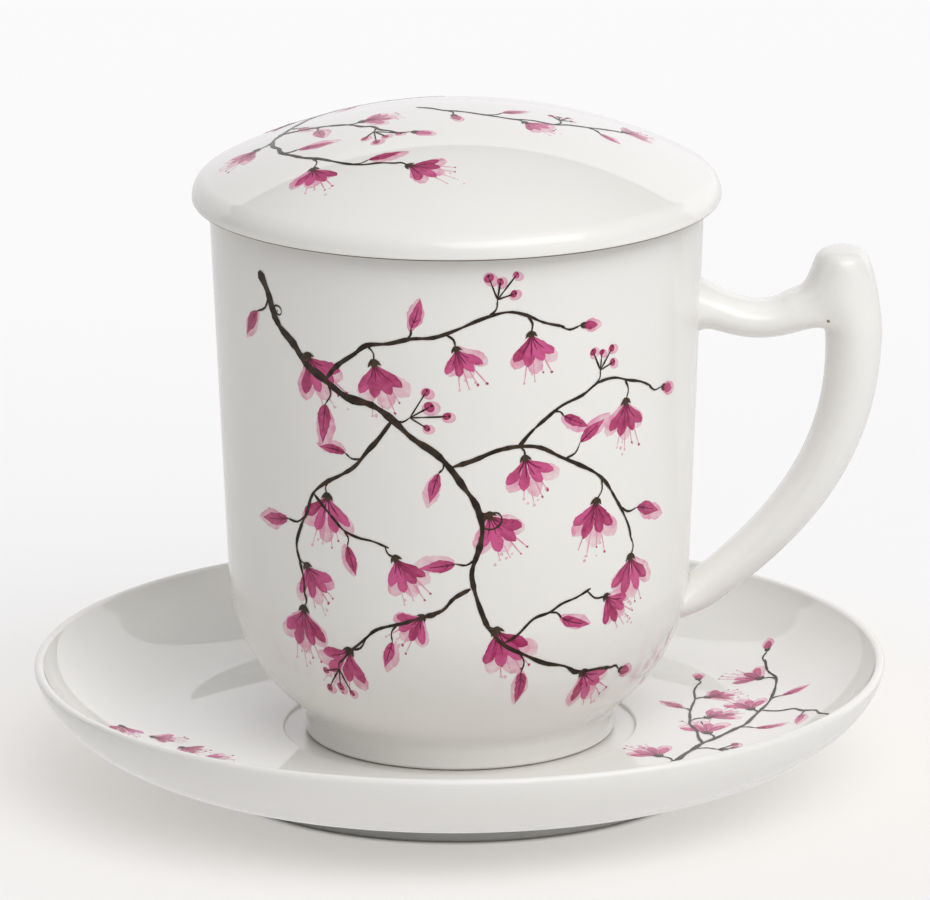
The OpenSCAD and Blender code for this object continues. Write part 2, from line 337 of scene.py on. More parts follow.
@dataclass(frozen=True)
class SatinSteel:
    """Stainless sheet, brushed around the axis of the piece."""

    name: str = "stainless_steel"
    colour: tuple[float, float, float] = (0.70, 0.70, 0.69)
    dark: tuple[float, float, float] = (0.58, 0.58, 0.57)
    roughness: float = 0.24
    brush_scale: float = 5200.0
    bump_strength: float = 0.25
    bump_depth: float = 0.00002     # metres

    def material(self) -> bpy.types.Material:
        """Builds the steel: fine rings from brushing, and faint water marks.

        Returns:
            The material.
        """
        material, shader = new_material(self.name)
        place = shader.place()
        x, y, z = (shader.axis(place, key) for key in "XYZ")
        radius = (x * x + y * y) ** 0.5
        rings = shader.out("ShaderNodeCombineXYZ", 0, None, {"X": radius, "Y": z, "Z": 0.0})
        brushed = shader.noise(rings, self.brush_scale, 2.0, 0.6)
        marks = shader.noise(place, 120.0, 3.0)
        bump = shader.out("ShaderNodeBump", 0, None,
                          {"Strength": self.bump_strength, "Distance": self.bump_depth, "Height": brushed})
        surface = shader.node("ShaderNodeBsdfPrincipled", None, {
            "Base Color": shader.mix(brushed * 0.6 + marks * 0.3, self.colour, self.dark),
            "Metallic": 1.0,
            "Roughness": self.roughness + brushed * 0.12 + marks.smooth(0.5, 0.8) * 0.06,
            "Normal": bump,
        })
        end_surface(shader, surface)
        return material


class Ink(Enum):
    """The four inks of the print, from the lowest layer to the highest."""

    WASH = "wash"
    BLOOM = "bloom"
    STEM = "stem"
    DEEP = "deep"


@dataclass(frozen=True)
class PrintInk:
    """One ink of the in-glaze print, from its thin tone to its full one."""

    ink: Ink
    thin: tuple[float, float, float]
    full: tuple[float, float, float]
    lift: float                     # height of the ink over the porcelain, in millimetres
    gloss: float = 0.5              # share of a glaze's own reflection, where 0.5 is all of it
    grain_scale: float = 900.0      # of the brush's grain and of the pools of ink
    pool_scale: float = 330.0

    def material(self) -> bpy.types.Material:
        """Builds the ink: the drawn tone, broken by brush grain.

        Returns:
            The material.
        """
        material, shader = new_material("print_" + self.ink.value)
        place = shader.place()
        tone = shader.out("ShaderNodeAttribute", "Fac", {"attribute_name": TONE})
        grain = shader.noise(place, self.grain_scale, 3.0, 0.6) - 0.5
        pool = shader.noise(place, self.pool_scale, 3.0, 0.6) - 0.5
        amount = (tone + grain * 0.7 + pool * 1.5).clamped()
        surface = shader.node("ShaderNodeBsdfPrincipled", None, {
            "Base Color": shader.mix(amount, self.thin, self.full),
            "Roughness": 0.1 + grain * 0.05,
            "IOR": GLAZE_IOR,
            "Specular IOR Level": self.gloss,
        })
        end_surface(shader, surface)
        return material


TONE = "tone"
INKS = (
    PrintInk(Ink.WASH, (0.82, 0.66, 0.68), (0.72, 0.27, 0.41), 0.015),
    PrintInk(Ink.BLOOM, (0.61, 0.085, 0.25), (0.34, 0.012, 0.09), 0.035),
    PrintInk(Ink.STEM, (0.080, 0.050, 0.030), (0.018, 0.011, 0.007), 0.075, 0.2),
    PrintInk(Ink.DEEP, (0.24, 0.010, 0.075), (0.035, 0.008, 0.014), 0.055, 0.3),
)


# ---------------------------------------------------------------- turned shapes


class Outline:
    """Half the outline of a turned piece, drawn in the XZ plane as one chain of edges."""

    def __init__(self) -> None:
        """Starts with nothing drawn."""
        self.mesh = bmesh.new()
        self.tail: bmesh.types.BMVert | None = None

    def to(self, *points: tuple[float, float]) -> list[Vector]:
        """Draws straight on through points.

        Args:
            points: Radius and height of each.

        Returns:
            The points.
        """
        return self._join([self.mesh.verts.new((x, 0.0, z)) for x, z in points])

    def arc(self, centre: tuple[float, float], radii: tuple[float, float],
            start: float, end: float, steps: int = ARC_STEPS) -> list[Vector]:
        """Draws an arc of an oval by spinning one vertex.

        Args:
            centre: Radius and height of the oval's centre.
            radii: The oval's half width and half height.
            start: First angle, in degrees.
            end: Last angle, in degrees.
            steps: Straight pieces in the arc.

        Returns:
            The points of the arc, in order.
        """
        count = len(self.mesh.verts)
        first = self.mesh.verts.new((math.cos(math.radians(start)), 0.0, math.sin(math.radians(start))))
        bmesh.ops.spin(self.mesh, geom=[first], cent=(0, 0, 0), axis=(0, -1, 0), dvec=(0, 0, 0),
                       angle=math.radians(end - start), space=Matrix.Identity(4), steps=steps,
                       use_merge=False, use_normal_flip=False, use_duplicate=False)
        verts = list(self.mesh.verts)[count:]
        bmesh.ops.scale(self.mesh, vec=(radii[0], 1.0, radii[1]), verts=verts)
        bmesh.ops.translate(self.mesh, vec=(centre[0], 0.0, centre[1]), verts=verts)
        return self._join(verts)

    def turned(self) -> bmesh.types.BMesh:
        """Spins the outline round the axis.

        Returns:
            The closed mesh, with its normals outwards.
        """
        mesh = self.mesh
        bmesh.ops.remove_doubles(mesh, verts=mesh.verts, dist=WELD)
        bmesh.ops.spin(mesh, geom=[*mesh.verts, *mesh.edges], cent=(0, 0, 0), axis=(0, 0, 1),
                       dvec=(0, 0, 0), angle=2 * math.pi, space=Matrix.Identity(4), steps=TURN_STEPS,
                       use_merge=True, use_normal_flip=False, use_duplicate=False)
        bmesh.ops.remove_doubles(mesh, verts=mesh.verts, dist=WELD)
        bmesh.ops.recalc_face_normals(mesh, faces=mesh.faces)
        return mesh

    def _join(self, verts: Sequence[bmesh.types.BMVert]) -> list[Vector]:
        """Links new vertices to the end of the chain and returns their radii and heights.

        Args:
            verts: The vertices, in order.

        Returns:
            Radius and height of each.
        """
        if self.tail is not None:
            self.mesh.edges.new((self.tail, verts[0]))
        for a, b in zip(verts, verts[1:]):
            if b not in (edge.other_vert(a) for edge in a.link_edges):
                self.mesh.edges.new((a, b))
        self.tail = verts[-1]
        return [Vector((v.co.x, v.co.z)) for v in verts]


class Meridian:
    """A stretch of a turned piece's outline, read by the length along it."""

    def __init__(self, points: Sequence[Vector]) -> None:
        """Keeps the points that differ, their lengths along the line and their normals.

        Args:
            points: Radius and height of each point, in order.
        """
        self.points = [points[0]]
        for point in points[1:]:
            if (point - self.points[-1]).length > WELD:
                self.points.append(point)
        self.lengths = [0.0]
        for a, b in zip(self.points, self.points[1:]):
            self.lengths.append(self.lengths[-1] + (b - a).length)
        steps = [(b - a).normalized() for a, b in zip(self.points, self.points[1:])]
        means = [steps[0], *(a + b for a, b in zip(steps, steps[1:])), steps[-1]]
        self.normals = [Vector((mean.y, -mean.x)).normalized() for mean in means]

    def at(self, length: float) -> tuple[Vector, Vector]:
        """Reads the line.

        Args:
            length: Length along it from its first point.

        Returns:
            The point there as radius and height, and the normal on the line's right-hand side.
        """
        length = min(max(length, 0.0), self.lengths[-1] - WELD)
        k = next(i for i, end in enumerate(self.lengths[1:]) if end > length)
        share = (length - self.lengths[k]) / (self.lengths[k + 1] - self.lengths[k])
        point = self.points[k].lerp(self.points[k + 1], share)
        return point, self.normals[k].lerp(self.normals[k + 1], share).normalized()

    def radius_at(self, height: float) -> float:
        """Radius of the line at a height, for a line that only rises.

        Args:
            height: The height.

        Returns:
            The radius, held to the line's ends above and below it.
        """
        for a, b in zip(self.points, self.points[1:]):
            if a.y <= height <= b.y:
                return a.lerp(b, (height - a.y) / max(b.y - a.y, WELD)).x
        return (self.points[0] if height < self.points[0].y else self.points[-1]).x


# ---------------------------------------------------------------- pieces


def make_piece(mesh: bmesh.types.BMesh, name: str, body: str, material: bpy.types.Material,
               replaces: Sequence[str] = ()) -> bpy.types.Object:
    """Turns a mesh in millimetres into a piece that rides on a body.

    Args:
        mesh: The mesh, which is freed.
        name: The piece's name.
        body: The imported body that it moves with.
        material: Its material.
        replaces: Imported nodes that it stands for.

    Returns:
        The object.
    """
    bmesh.ops.scale(mesh, vec=(METRES,) * 3, verts=mesh.verts)
    for face in mesh.faces:
        face.smooth = True
    for edge in mesh.edges:
        edge.smooth = len(edge.link_faces) == 2 and edge.calc_face_angle(0.0) < SHARP_ANGLE
    data = bpy.data.meshes.new(name)
    mesh.to_mesh(data)
    mesh.free()
    data.materials.append(material)
    piece = bpy.data.objects.new(name, data)
    bpy.context.scene.collection.objects.link(piece)
    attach(piece, body)
    if replaces:
        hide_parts(*replaces)
    LOG.info("%s: %d faces on %s", name, len(data.polygons), body)
    return piece


@dataclass
class Saucer:
    """The dished saucer: foot ring, rounded underside, steep side and the well for the mug."""

    ring_d: float = 86.6
    ring_w: float = 3.2
    ring_h: float = 4.0
    ring_edge: float = 0.8
    floor_t: float = 4.0
    rim_t: float = 1.7
    lean: float = 7.0
    dish_lean: float = 15.0
    dish_bend: float = 50.0         # radius at which the inside starts to rise
    well_d: float = 62.0
    well_h: float = 0.7
    well_edge: float = 0.5
    box: Span = field(default_factory=lambda: Span.of("saucer"))
    dish: Meridian | None = None

    def mesh(self) -> bmesh.types.BMesh:
        """Draws the outline from the axis under the saucer round to the axis in the well.

        Returns:
            The turned saucer.
        """
        line = Outline()
        edge, rim = self.ring_edge, self.rim_t / 2
        reach = self.box.high.x
        ring = self.ring_d / 2
        bend = ring - self.ring_w / 2
        side_z = self.box.high.z - rim
        top_z = self.ring_h + self.floor_t + self.well_h
        steep = math.radians(self.lean)
        line.to((0.0, self.ring_h), (ring - self.ring_w - edge, self.ring_h))
        line.arc((ring - self.ring_w - edge, self.ring_h - edge), (edge, edge), 90, 0, EDGE_STEPS)
        line.arc((ring - self.ring_w + edge, edge), (edge, edge), 180, 270, EDGE_STEPS)
        line.arc((ring - edge, edge), (edge, edge), 270, 360, EDGE_STEPS)
        out = ((reach - bend) / math.cos(steep), (side_z - self.ring_h) / (1 - math.sin(steep)))
        start = math.degrees(math.asin(min(1.0, (ring + edge - bend) / out[0]))) - 90
        line.arc((bend, self.ring_h + out[1]), out, start, -self.lean, 2 * ARC_STEPS)
        line.arc((reach - rim, side_z), (rim, rim), 0, 180 - self.dish_lean, 2 * EDGE_STEPS)
        slack = math.radians(self.dish_lean)
        brink = Vector((reach - rim - rim * math.cos(slack), side_z + rim * math.sin(slack)))
        dish = ((brink.x - self.dish_bend) / math.cos(slack), (brink.y - top_z) / (1 - math.sin(slack)))
        rise = line.arc((self.dish_bend, top_z + dish[1]), dish, -self.dish_lean, -90, 2 * ARC_STEPS)
        well, step, toe = self.well_d / 2, self.well_edge, self.well_h - self.well_edge
        flat = line.arc((well + step, top_z - step), (step, step), 90, 180, EDGE_STEPS)
        line.arc((well - toe, top_z - step), (toe, toe), 0, -90, EDGE_STEPS)
        line.to((0.0, top_z - self.well_h))
        self.dish = Meridian([Vector((0.0, top_z)), *reversed([*rise, flat[0]])])
        return line.turned()

    def build(self, glaze: Porcelain) -> bpy.types.Object:
        """Makes the piece."""
        mesh = self.mesh()
        return make_piece(mesh, "saucer_dish", "saucer", glaze.material(),
                          replaces=["saucer"])


@dataclass
class MugBody:
    """The mug: a round bottom on a low foot, and a straight side that flares to the rim."""

    belly_d: float = 81.0
    round_r: float = 30.0
    foot_d: float = 54.4
    foot_h: float = 3.4
    foot_fillet: float = 3.0
    foot_w: float = 4.0
    foot_edge: float = 0.8
    recess_h: float = 2.5
    wall: float = 3.0
    floor_t: float = 4.0
    box: Span = field(default_factory=lambda: Span.of("mug_body"))
    side: Meridian | None = None

    def mesh(self) -> bmesh.types.BMesh:
        """Draws the outline from the axis under the foot, over the rim, to the axis inside.

        Returns:
            The turned mug.
        """
        line = Outline()
        base, rim_r = self.box.low.z, self.box.high.x
        height = self.box.high.z - base
        edge, lip, foot_r = self.foot_edge, self.wall / 2, self.foot_d / 2
        centre_x = self.belly_d / 2 - self.round_r
        fillet_x = foot_r + self.foot_fillet
        drop = math.sqrt((self.round_r + self.foot_fillet) ** 2 - (fillet_x - centre_x) ** 2)
        centre_z = self.foot_h + drop
        low = math.degrees(math.atan2(-drop, fillet_x - centre_x))
        run = Vector((rim_r - centre_x, height - lip - centre_z))
        high = math.degrees(math.atan2(run.y, run.x) - math.acos(self.round_r / run.length))
        inner_r = self.round_r - self.wall
        floor_z = self.recess_h + self.floor_t
        inner_low = -math.degrees(math.asin((centre_z - floor_z) / inner_r))
        foot_in = foot_r - self.foot_w
        line.to((0.0, base + self.recess_h), (foot_in - edge, base + self.recess_h))
        line.arc((foot_in - edge, base + self.recess_h - edge), (edge, edge), 90, 0, EDGE_STEPS)
        line.arc((foot_in + edge, base + edge), (edge, edge), 180, 270, EDGE_STEPS)
        line.arc((foot_r - edge, base + edge), (edge, edge), 270, 360, EDGE_STEPS)
        line.arc((fillet_x, base + self.foot_h), (self.foot_fillet,) * 2, 180, low + 180, EDGE_STEPS)
        bend = line.arc((centre_x, base + centre_z), (self.round_r,) * 2, low, high, 2 * ARC_STEPS)
        wall = line.to(*((rim_r - (rim_r - bend[-1].x) * (1 - k / ARC_STEPS),
                          bend[-1].y + (base + height - lip - bend[-1].y) * k / ARC_STEPS)
                         for k in range(1, ARC_STEPS + 1)))
        line.arc((rim_r - lip, base + height - lip), (lip, lip), 0, 180, 2 * EDGE_STEPS)
        line.arc((centre_x, base + centre_z), (inner_r,) * 2, high, inner_low, 2 * ARC_STEPS)
        line.to((0.0, base + floor_z))
        self.side = Meridian([*bend, *wall])
        return line.turned()

    def build(self, glaze: Porcelain) -> bpy.types.Object:
        """Makes the piece."""
        mesh = self.mesh()
        return make_piece(mesh, "mug_wall", "mug", glaze.material(),
                          replaces=["mug_body"])


@dataclass(frozen=True)
class Section:
    """One oval section through the handle, square to its heading."""

    centre: Vector                  # in the handle's plane, as X and Z
    heading: Vector
    thickness: float
    width: float

    def matrix(self) -> Matrix:
        """Where the unit circle goes to become this section's control ring.

        Returns:
            The transform.
        """
        along = Vector((self.heading.x, 0.0, self.heading.y)).normalized()
        across = Vector((0.0, 1.0, 0.0))
        outwards = along.cross(across)
        columns = (outwards * self.thickness / 2 * Handle.RING_GAIN,
                   across * self.width / 2 * Handle.RING_GAIN, along)
        matrix = Matrix.Identity(4)
        for k, column in enumerate(columns):
            matrix.col[k] = (*column, 0.0)
        matrix.col[3] = (self.centre.x, 0.0, self.centre.y, 1.0)
        return matrix


@dataclass
class Handle:
    """The side handle: a grip that ends in a thumb rest above, and the arm that carries it."""

    MOUTH = 5                       # the section of the thumb rest that the arm runs into
    SHAFT_SECTIONS = 14
    RING_SIDES = 8
    # A subdivided ring of 8 control points settles inside them, so they stand out by this share
    RING_GAIN = 6 / (4 + 2 * math.cos(2 * math.pi / RING_SIDES))

    grip_t: float = 9.9
    grip_w: float = 13.0
    grip_z: float = 78.6            # where the thumb rest passes into the shaft
    shaft_t: float = 8.2
    rest_drop: float = 0.9
    slack: float = 0.3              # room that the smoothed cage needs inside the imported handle's box
    tail_t: float = 6.6
    tail_w: float = 10.6
    tail_slope: float = 35.0
    tail_x: float = 40.4
    tail_z: float = 31.6
    pull: float = 0.38              # how far the shaft's control points lie along its span
    root_depth: float = 2.2         # how far both ends sink into the mug's wall
    tail_sink: float = 0.3          # how far the sections next to them do
    arm_sink: float = 0.1
    levels: int = 3
    box: Span = field(default_factory=lambda: Span.of("mug_handle"))

    def grip_sections(self) -> list[Section]:
        """The grip from the top of the thumb rest to its foot inside the mug's side.

        Returns:
            Its sections, from the top down.
        """
        top, reach = self.box.high.z - self.rest_drop, self.box.high.x - self.slack
        grip = Vector((reach - self.grip_t / 2, self.grip_z))
        tail = Vector((self.tail_x, self.tail_z))
        slope = polar(1.0, self.tail_slope)
        down = Vector((0.0, -1.0))
        span = (grip - tail).length * self.pull
        lower = (grip, grip + down * span, tail + slope * span, tail)
        # Inner edge, outer edge, depth under the top and width of each section of the thumb rest
        rests = ((65.3, 69.0, 0.15, 5.4), (63.2, 71.3, 0.75, 10.4), (62.3, 72.2, 2.5, 12.4),
                 (61.5, 72.9, 5.0, 12.7), (60.2, 73.5, 7.4, 12.9), (62.2, 74.0, 11.0, 13.0),
                 (63.7, 74.3, 13.7, 13.0), (64.3, 74.4, 15.3, 13.0))
        rest = [Section(Vector(((inner + outer) / 2, top - depth)), down, outer - inner, width)
                for inner, outer, depth, width in rests]
        shaft = []
        for k in range(self.SHAFT_SECTIONS):
            t = k / (self.SHAFT_SECTIONS - 1)
            thickness = blend(self.grip_t, self.shaft_t, min(2 * t, 1.0))
            thickness = blend(thickness, self.tail_t, max(2 * t - 1, 0.0))
            shaft.append(Section(cubic(lower, t), cubic_heading(lower, t), thickness,
                                 blend(self.grip_w, self.tail_w, t)))
        # Place along the slope and growth in thickness and in width of the sections at its foot
        feet = ((1.2, 0.3, 0.4), (-0.6, 1.6, 1.6), (-2.4, 2.2, 2.0))
        foot = [Section(tail + slope * along, -slope, self.tail_t + thicker, self.tail_w + wider)
                for along, thicker, wider in feet]
        return [*rest, *shaft[:-1], *foot]

    def arm_sections(self) -> list[Section]:
        """The arm from inside the mug's side to the grip.

        Returns:
            Its sections, from the mug outwards.
        """
        # X, Z, slope, thickness and width of each section
        rows = ((39.8, 85.0, -6.0, 11.4, 13.2), (42.6, 84.9, -8.0, 9.8, 12.4),
                (43.9, 84.5, -14.0, 7.8, 11.0), (45.8, 83.9, -18.0, 7.1, 10.7),
                (48.6, 82.9, -15.0, 6.9, 10.6), (51.8, 82.25, -6.0, 6.8, 10.6),
                (55.0, 82.4, 6.0, 6.8, 10.6), (57.4, 83.0, 15.0, 7.0, 10.6), (59.2, 83.8, 24.0, 7.6, 10.6))
        return [Section(Vector((x, z)), polar(1.0, slope), thickness, width)
                for x, z, slope, thickness, width in rows]

    def mesh(self, wall: Meridian) -> bmesh.types.BMesh:
        """Models the control cage: two lofted tubes, the arm bridged into the grip's side.

        Args:
            wall: Outside of the mug that the handle's ends are luted to.

        Returns:
            The cage, closed.
        """
        cage = bmesh.new()
        grip = self._loft(cage, self.grip_sections())
        self._close(cage, grip[0])
        self._seat(grip[-1], wall, self.root_depth)
        self._seat(grip[-2], wall, self.tail_sink)
        self._close(cage, grip[-1])
        middle = min(grip[self.MOUTH], key=lambda vert: vert.co.x)
        mouth = [edge for face in middle.link_faces for edge in face.edges if middle not in edge.verts]
        bmesh.ops.delete(cage, geom=[middle], context="VERTS")
        arm = self._loft(cage, self.arm_sections())
        self._seat(arm[0], wall, self.root_depth)
        self._seat(arm[1], wall, self.arm_sink)
        self._close(cage, arm[0])
        end = [edge for edge in cage.edges if all(vert in arm[-1] for vert in edge.verts)]
        bmesh.ops.bridge_loops(cage, edges=[*mouth, *end])
        bmesh.ops.recalc_face_normals(cage, faces=cage.faces)
        return cage

    def build(self, wall: Meridian, glaze: Porcelain) -> bpy.types.Object:
        """Makes the piece, its cage smoothed by subdivision.

        Args:
            wall: Outside of the mug that it is luted to.
            glaze: Its finish.

        Returns:
            The object.
        """
        piece = make_piece(self.mesh(wall), "handle", "mug", glaze.material(),
                           replaces=["mug_handle"])
        for edge in piece.data.edges:
            edge.use_edge_sharp = False
        smooth = piece.modifiers.new("smooth", "SUBSURF")
        smooth.levels = smooth.render_levels = self.levels
        return piece

    def _loft(self, cage: bmesh.types.BMesh,
              sections: Sequence[Section]) -> list[list[bmesh.types.BMVert]]:
        """Extrudes a ring of vertices through sections and returns the rings.

        Args:
            cage: Mesh that the tube is added to.
            sections: The sections, in order.

        Returns:
            The vertices of each ring, in the order of the sections.
        """
        ring = bmesh.ops.create_circle(cage, segments=self.RING_SIDES, radius=1.0, cap_ends=False)["verts"]
        bmesh.ops.transform(cage, matrix=sections[0].matrix(), verts=ring)
        rings = [list(ring)]
        edges = list({edge for vert in ring for edge in vert.link_edges})
        for before, after in zip(sections, sections[1:]):
            grown = bmesh.ops.extrude_edge_only(cage, edges=edges)["geom"]
            ring = [item for item in grown if isinstance(item, bmesh.types.BMVert)]
            edges = [item for item in grown if isinstance(item, bmesh.types.BMEdge)
                     and all(vert in ring for vert in item.verts)]
            bmesh.ops.transform(cage, matrix=after.matrix() @ before.matrix().inverted(), verts=ring)
            rings.append(ring)
        return rings

    @staticmethod
    def _close(cage: bmesh.types.BMesh, ring: Sequence[bmesh.types.BMVert]) -> None:
        """Caps an end ring."""
        edges = [edge for edge in cage.edges if all(vert in ring for vert in edge.verts)]
        bmesh.ops.edgeloop_fill(cage, edges=edges)

    @staticmethod
    def _seat(ring: Sequence[bmesh.types.BMVert], wall: Meridian, depth: float) -> None:
        """Moves a ring along X on to the mug's side, or a depth into it.

        Args:
            ring: Vertices of the ring.
            wall: Outside of the mug.
            depth: How far inside it the ring ends up.
        """
        for vert in ring:
            radius = wall.radius_at(vert.co.z) - depth
            vert.co.x = math.sqrt(radius * radius - vert.co.y * vert.co.y)


@dataclass(frozen=True)
class PinholeStainAndShade:
    """Dark brown of a pinhole in the glaze: the brown of bare clay, darkened as the painted shade inside
    the hole.
    """

    name: str = "pinhole_stain_and_shade"
    # Painted shade of the hole, in the brown of bare clay
    colour: tuple[float, float, float] = (0.20, 0.13, 0.07)
    pale: tuple[float, float, float] = (0.42, 0.33, 0.22)

    def material(self) -> bpy.types.Material:
        """Builds the pinhole's painted dark brown, paler in places.

        Returns:
            The material.
        """
        material, shader = new_material(self.name)
        cloud = shader.noise(shader.place(), 1400.0)
        surface = shader.node("ShaderNodeBsdfPrincipled", None, {
            "Base Color": shader.mix(cloud.smooth(0.45, 0.7), self.colour, self.pale),
            "Roughness": 0.6,
        })
        end_surface(shader, surface)
        return material


@dataclass(frozen=True)
class Vent:
    """The pinhole in the corner under the thumb rest, as a dark plug that paints the shade of the hole in
    place of a hole.
    """

    SIDES = 20

    place: tuple[float, float, float] = (64.5, -6.2, 82.9)
    size: float = 0.6
    proud: float = 0.02
    depth: float = 0.2

    def build(self, handle: bpy.types.Object, stain_and_shade: PinholeStainAndShade) -> bpy.types.Object:
        """Sets the pinhole's dark plug into the smoothed handle.

        Args:
            handle: The handle's piece.
            stain_and_shade: The plug's finish.

        Returns:
            The object.
        """
        bpy.context.view_layer.update()
        smoothed = handle.evaluated_get(bpy.context.evaluated_depsgraph_get())
        _, spot, normal, _ = smoothed.closest_point_on_mesh(Vector(self.place) * METRES)
        mesh = bmesh.new()
        bmesh.ops.create_cone(mesh, segments=self.SIDES, radius1=self.size / 2, radius2=self.size / 2,
                              depth=self.depth, cap_ends=True)
        sunk = Matrix.Translation((0.0, 0.0, self.proud - self.depth / 2))
        stand = Matrix.Translation(spot / METRES) @ normal.to_track_quat("Z", "Y").to_matrix().to_4x4()
        bmesh.ops.transform(mesh, matrix=stand @ sunk, verts=mesh.verts)
        return make_piece(mesh, "handle_vent", "mug", stain_and_shade.material())


@dataclass
class Lid:
    """The loose lid: a low crown with a round shoulder, a lip and the ring that centres it."""

    edge_r: float = 4.4
    lip_r: float = 0.6
    crown_t: float = 3.2
    print_room: float = 0.12        # left over the apex for the print
    lip_gap: float = 0.8
    ring_d: float = 73.5
    ring_t: float = 2.6
    ring_h: float = 5.0
    ring_edge: float = 0.9
    seat_above_lip: float = 1.7
    seam_shade_h: float = 0.30           # height of the dark brown line over the lip's lower edge, painted as the shade of the seam at the mug
    box: Span = field(default_factory=lambda: Span.of("lid"))
    crown: Meridian | None = None

    def mesh(self, mug_r: float) -> bmesh.types.BMesh:
        """Draws the outline from the axis under the crown round to the axis on top.

        Args:
            mug_r: Radius of the mug's rim, beside which the lip hangs.

        Returns:
            The turned lid.
        """
        line = Outline()
        reach, apex = self.box.high.x, self.box.high.z - self.print_room
        ring_r = self.ring_d / 2
        seat_z = self.box.low.z + self.ring_h
        wide_z = seat_z - self.seat_above_lip + self.lip_r
        rise, shoulder_x = apex - wide_z, reach - self.edge_r
        crown_r = (shoulder_x ** 2 + rise ** 2 - self.edge_r ** 2) / (2 * (rise - self.edge_r))
        crown_z = apex - crown_r
        turn = math.degrees(math.atan2(wide_z - crown_z, shoulder_x))
        roof_r = crown_r - self.crown_t
        ring_in, edge = ring_r - self.ring_t, self.ring_edge
        roof_end = math.degrees(math.acos(ring_in / roof_r))
        line.arc((0.0, crown_z), (roof_r, roof_r), 90, roof_end)
        line.arc((ring_in + edge, self.box.low.z + edge), (edge, edge), 180, 270, EDGE_STEPS)
        line.arc((ring_r - edge, self.box.low.z + edge), (edge, edge), 270, 360, EDGE_STEPS)
        line.to((ring_r, seat_z - edge))
        line.arc((ring_r + edge, seat_z - edge), (edge, edge), 180, 90, EDGE_STEPS)
        skirt = mug_r + self.lip_gap
        line.to((skirt, seat_z))
        line.arc((skirt + self.lip_r, wide_z), (self.lip_r,) * 2, 180, 270, EDGE_STEPS)
        line.arc((reach - self.lip_r, wide_z), (self.lip_r,) * 2, 270, 360, EDGE_STEPS)
        shoulder = line.arc((shoulder_x, wide_z), (self.edge_r,) * 2, 0, turn)
        crown = line.arc((0.0, crown_z), (crown_r, crown_r), turn, 90, 3 * ARC_STEPS)
        self.crown = Meridian([*reversed([*shoulder, *crown])])
        return line.turned()

    def build(self, mug_r: float) -> bpy.types.Object:
        """Makes the piece, with a dark brown line under its lip that paints the shade of the seam at the
        mug.

        Args:
            mug_r: Radius of the mug's rim.

        Returns:
            The object.
        """
        lip_z = self.box.low.z + self.ring_h - self.seat_above_lip
        # The lip's lower outer edge gets the painted seam shade
        glaze = Porcelain(name="lid_glaze", seam_shade_below=lip_z + self.seam_shade_h,
                          seam_shade_beyond=mug_r + self.lip_gap)
        mesh = self.mesh(mug_r)
        return make_piece(mesh, "lid_crown", "lid", glaze.material(), replaces=["lid"])


@dataclass
class Infuser:
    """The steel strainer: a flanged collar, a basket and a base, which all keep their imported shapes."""

    nodes: tuple[str, ...] = ("infuser_rim", "infuser_basket", "infuser_base")

    def build(self, finish: SatinSteel) -> None:
        """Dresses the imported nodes.

        Args:
            finish: Their finish.
        """
        material = finish.material()
        for name in self.nodes:
            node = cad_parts[name]
            node.data.materials.clear()
            node.data.materials.append(material)
            LOG.info("%s: packed shape, dressed", name)


# ---------------------------------------------------------------- curves


def cubic(points: Sequence[Vector], t: float) -> Vector:
    """Point on a cubic curve with four control points.

    Args:
        points: The control points.
        t: Share of the way along, from 0 to 1.

    Returns:
        The point.
    """
    a, b, c, d = points
    s = 1 - t
    return a * s ** 3 + b * (3 * s * s * t) + c * (3 * s * t * t) + d * t ** 3


def cubic_heading(points: Sequence[Vector], t: float) -> Vector:
    """Direction of that curve.

    Args:
        points: The control points.
        t: Share of the way along, from 0 to 1.

    Returns:
        The direction, of any length.
    """
    a, b, c, d = points
    s = 1 - t
    return (b - a) * s * s + (c - b) * (2 * s * t) + (d - c) * t * t


def blend(a: float, b: float, t: float) -> float:
    """Number a share t of the way from a to b."""
    return a + (b - a) * t


def through(points: Sequence[Vector], steps: int) -> list[Vector]:
    """Smooth line through points.

    Args:
        points: The points, at least two.
        steps: Straight pieces between two of them.

    Returns:
        The line's points.
    """
    ends = [points[0] * 2 - points[1], *points, points[-1] * 2 - points[-2]]
    line = []
    for before, a, b, after in zip(ends, ends[1:], ends[2:], ends[3:]):
        curve = (a, a + (b - before) / 6, b - (after - a) / 6, b)
        line += [cubic(curve, k / steps) for k in range(steps)]
    return [*line, points[-1].copy()]


# ---------------------------------------------------------------- print


class Wrap(ABC):
    """A turned surface that a flat drawing is laid on."""

    def __init__(self, line: Meridian) -> None:
        """Keeps the surface's outline."""
        self.line = line

    @abstractmethod
    def place(self, spot: Vector, lift: float) -> Vector:
        """Point over a spot of the drawing, a lift above the surface.

        Args:
            spot: Spot in the flat drawing.
            lift: Height over the surface.

        Returns:
            The point.
        """


class SideWrap(Wrap):
    """The side of the mug: across is the way round from the front, up is the height."""

    def __init__(self, line: Meridian, girth_r: float) -> None:
        """Keeps the radius at which the drawing has its true width."""
        super().__init__(line)
        self.girth_r = girth_r

    def place(self, spot: Vector, lift: float) -> Vector:
        """Point over a spot of the drawing.

        Args:
            spot: Way round from the front, and height.
            lift: Height over the surface.

        Returns:
            The point.
        """
        point, normal = self.line.at(self._length(spot.y))
        turn = spot.x / self.girth_r
        radius = point.x + normal.x * lift
        return Vector((radius * math.sin(turn), -radius * math.cos(turn), point.y + normal.y * lift))

    def _length(self, height: float) -> float:
        """Length along the side at a height over the table.

        Args:
            height: The height.

        Returns:
            The length from the line's first point.
        """
        for k, (a, b) in enumerate(zip(self.line.points, self.line.points[1:])):
            if height < b.y:
                share = max(height - a.y, 0.0) / (b.y - a.y)
                return blend(self.line.lengths[k], self.line.lengths[k + 1], share)
        return self.line.lengths[-1]


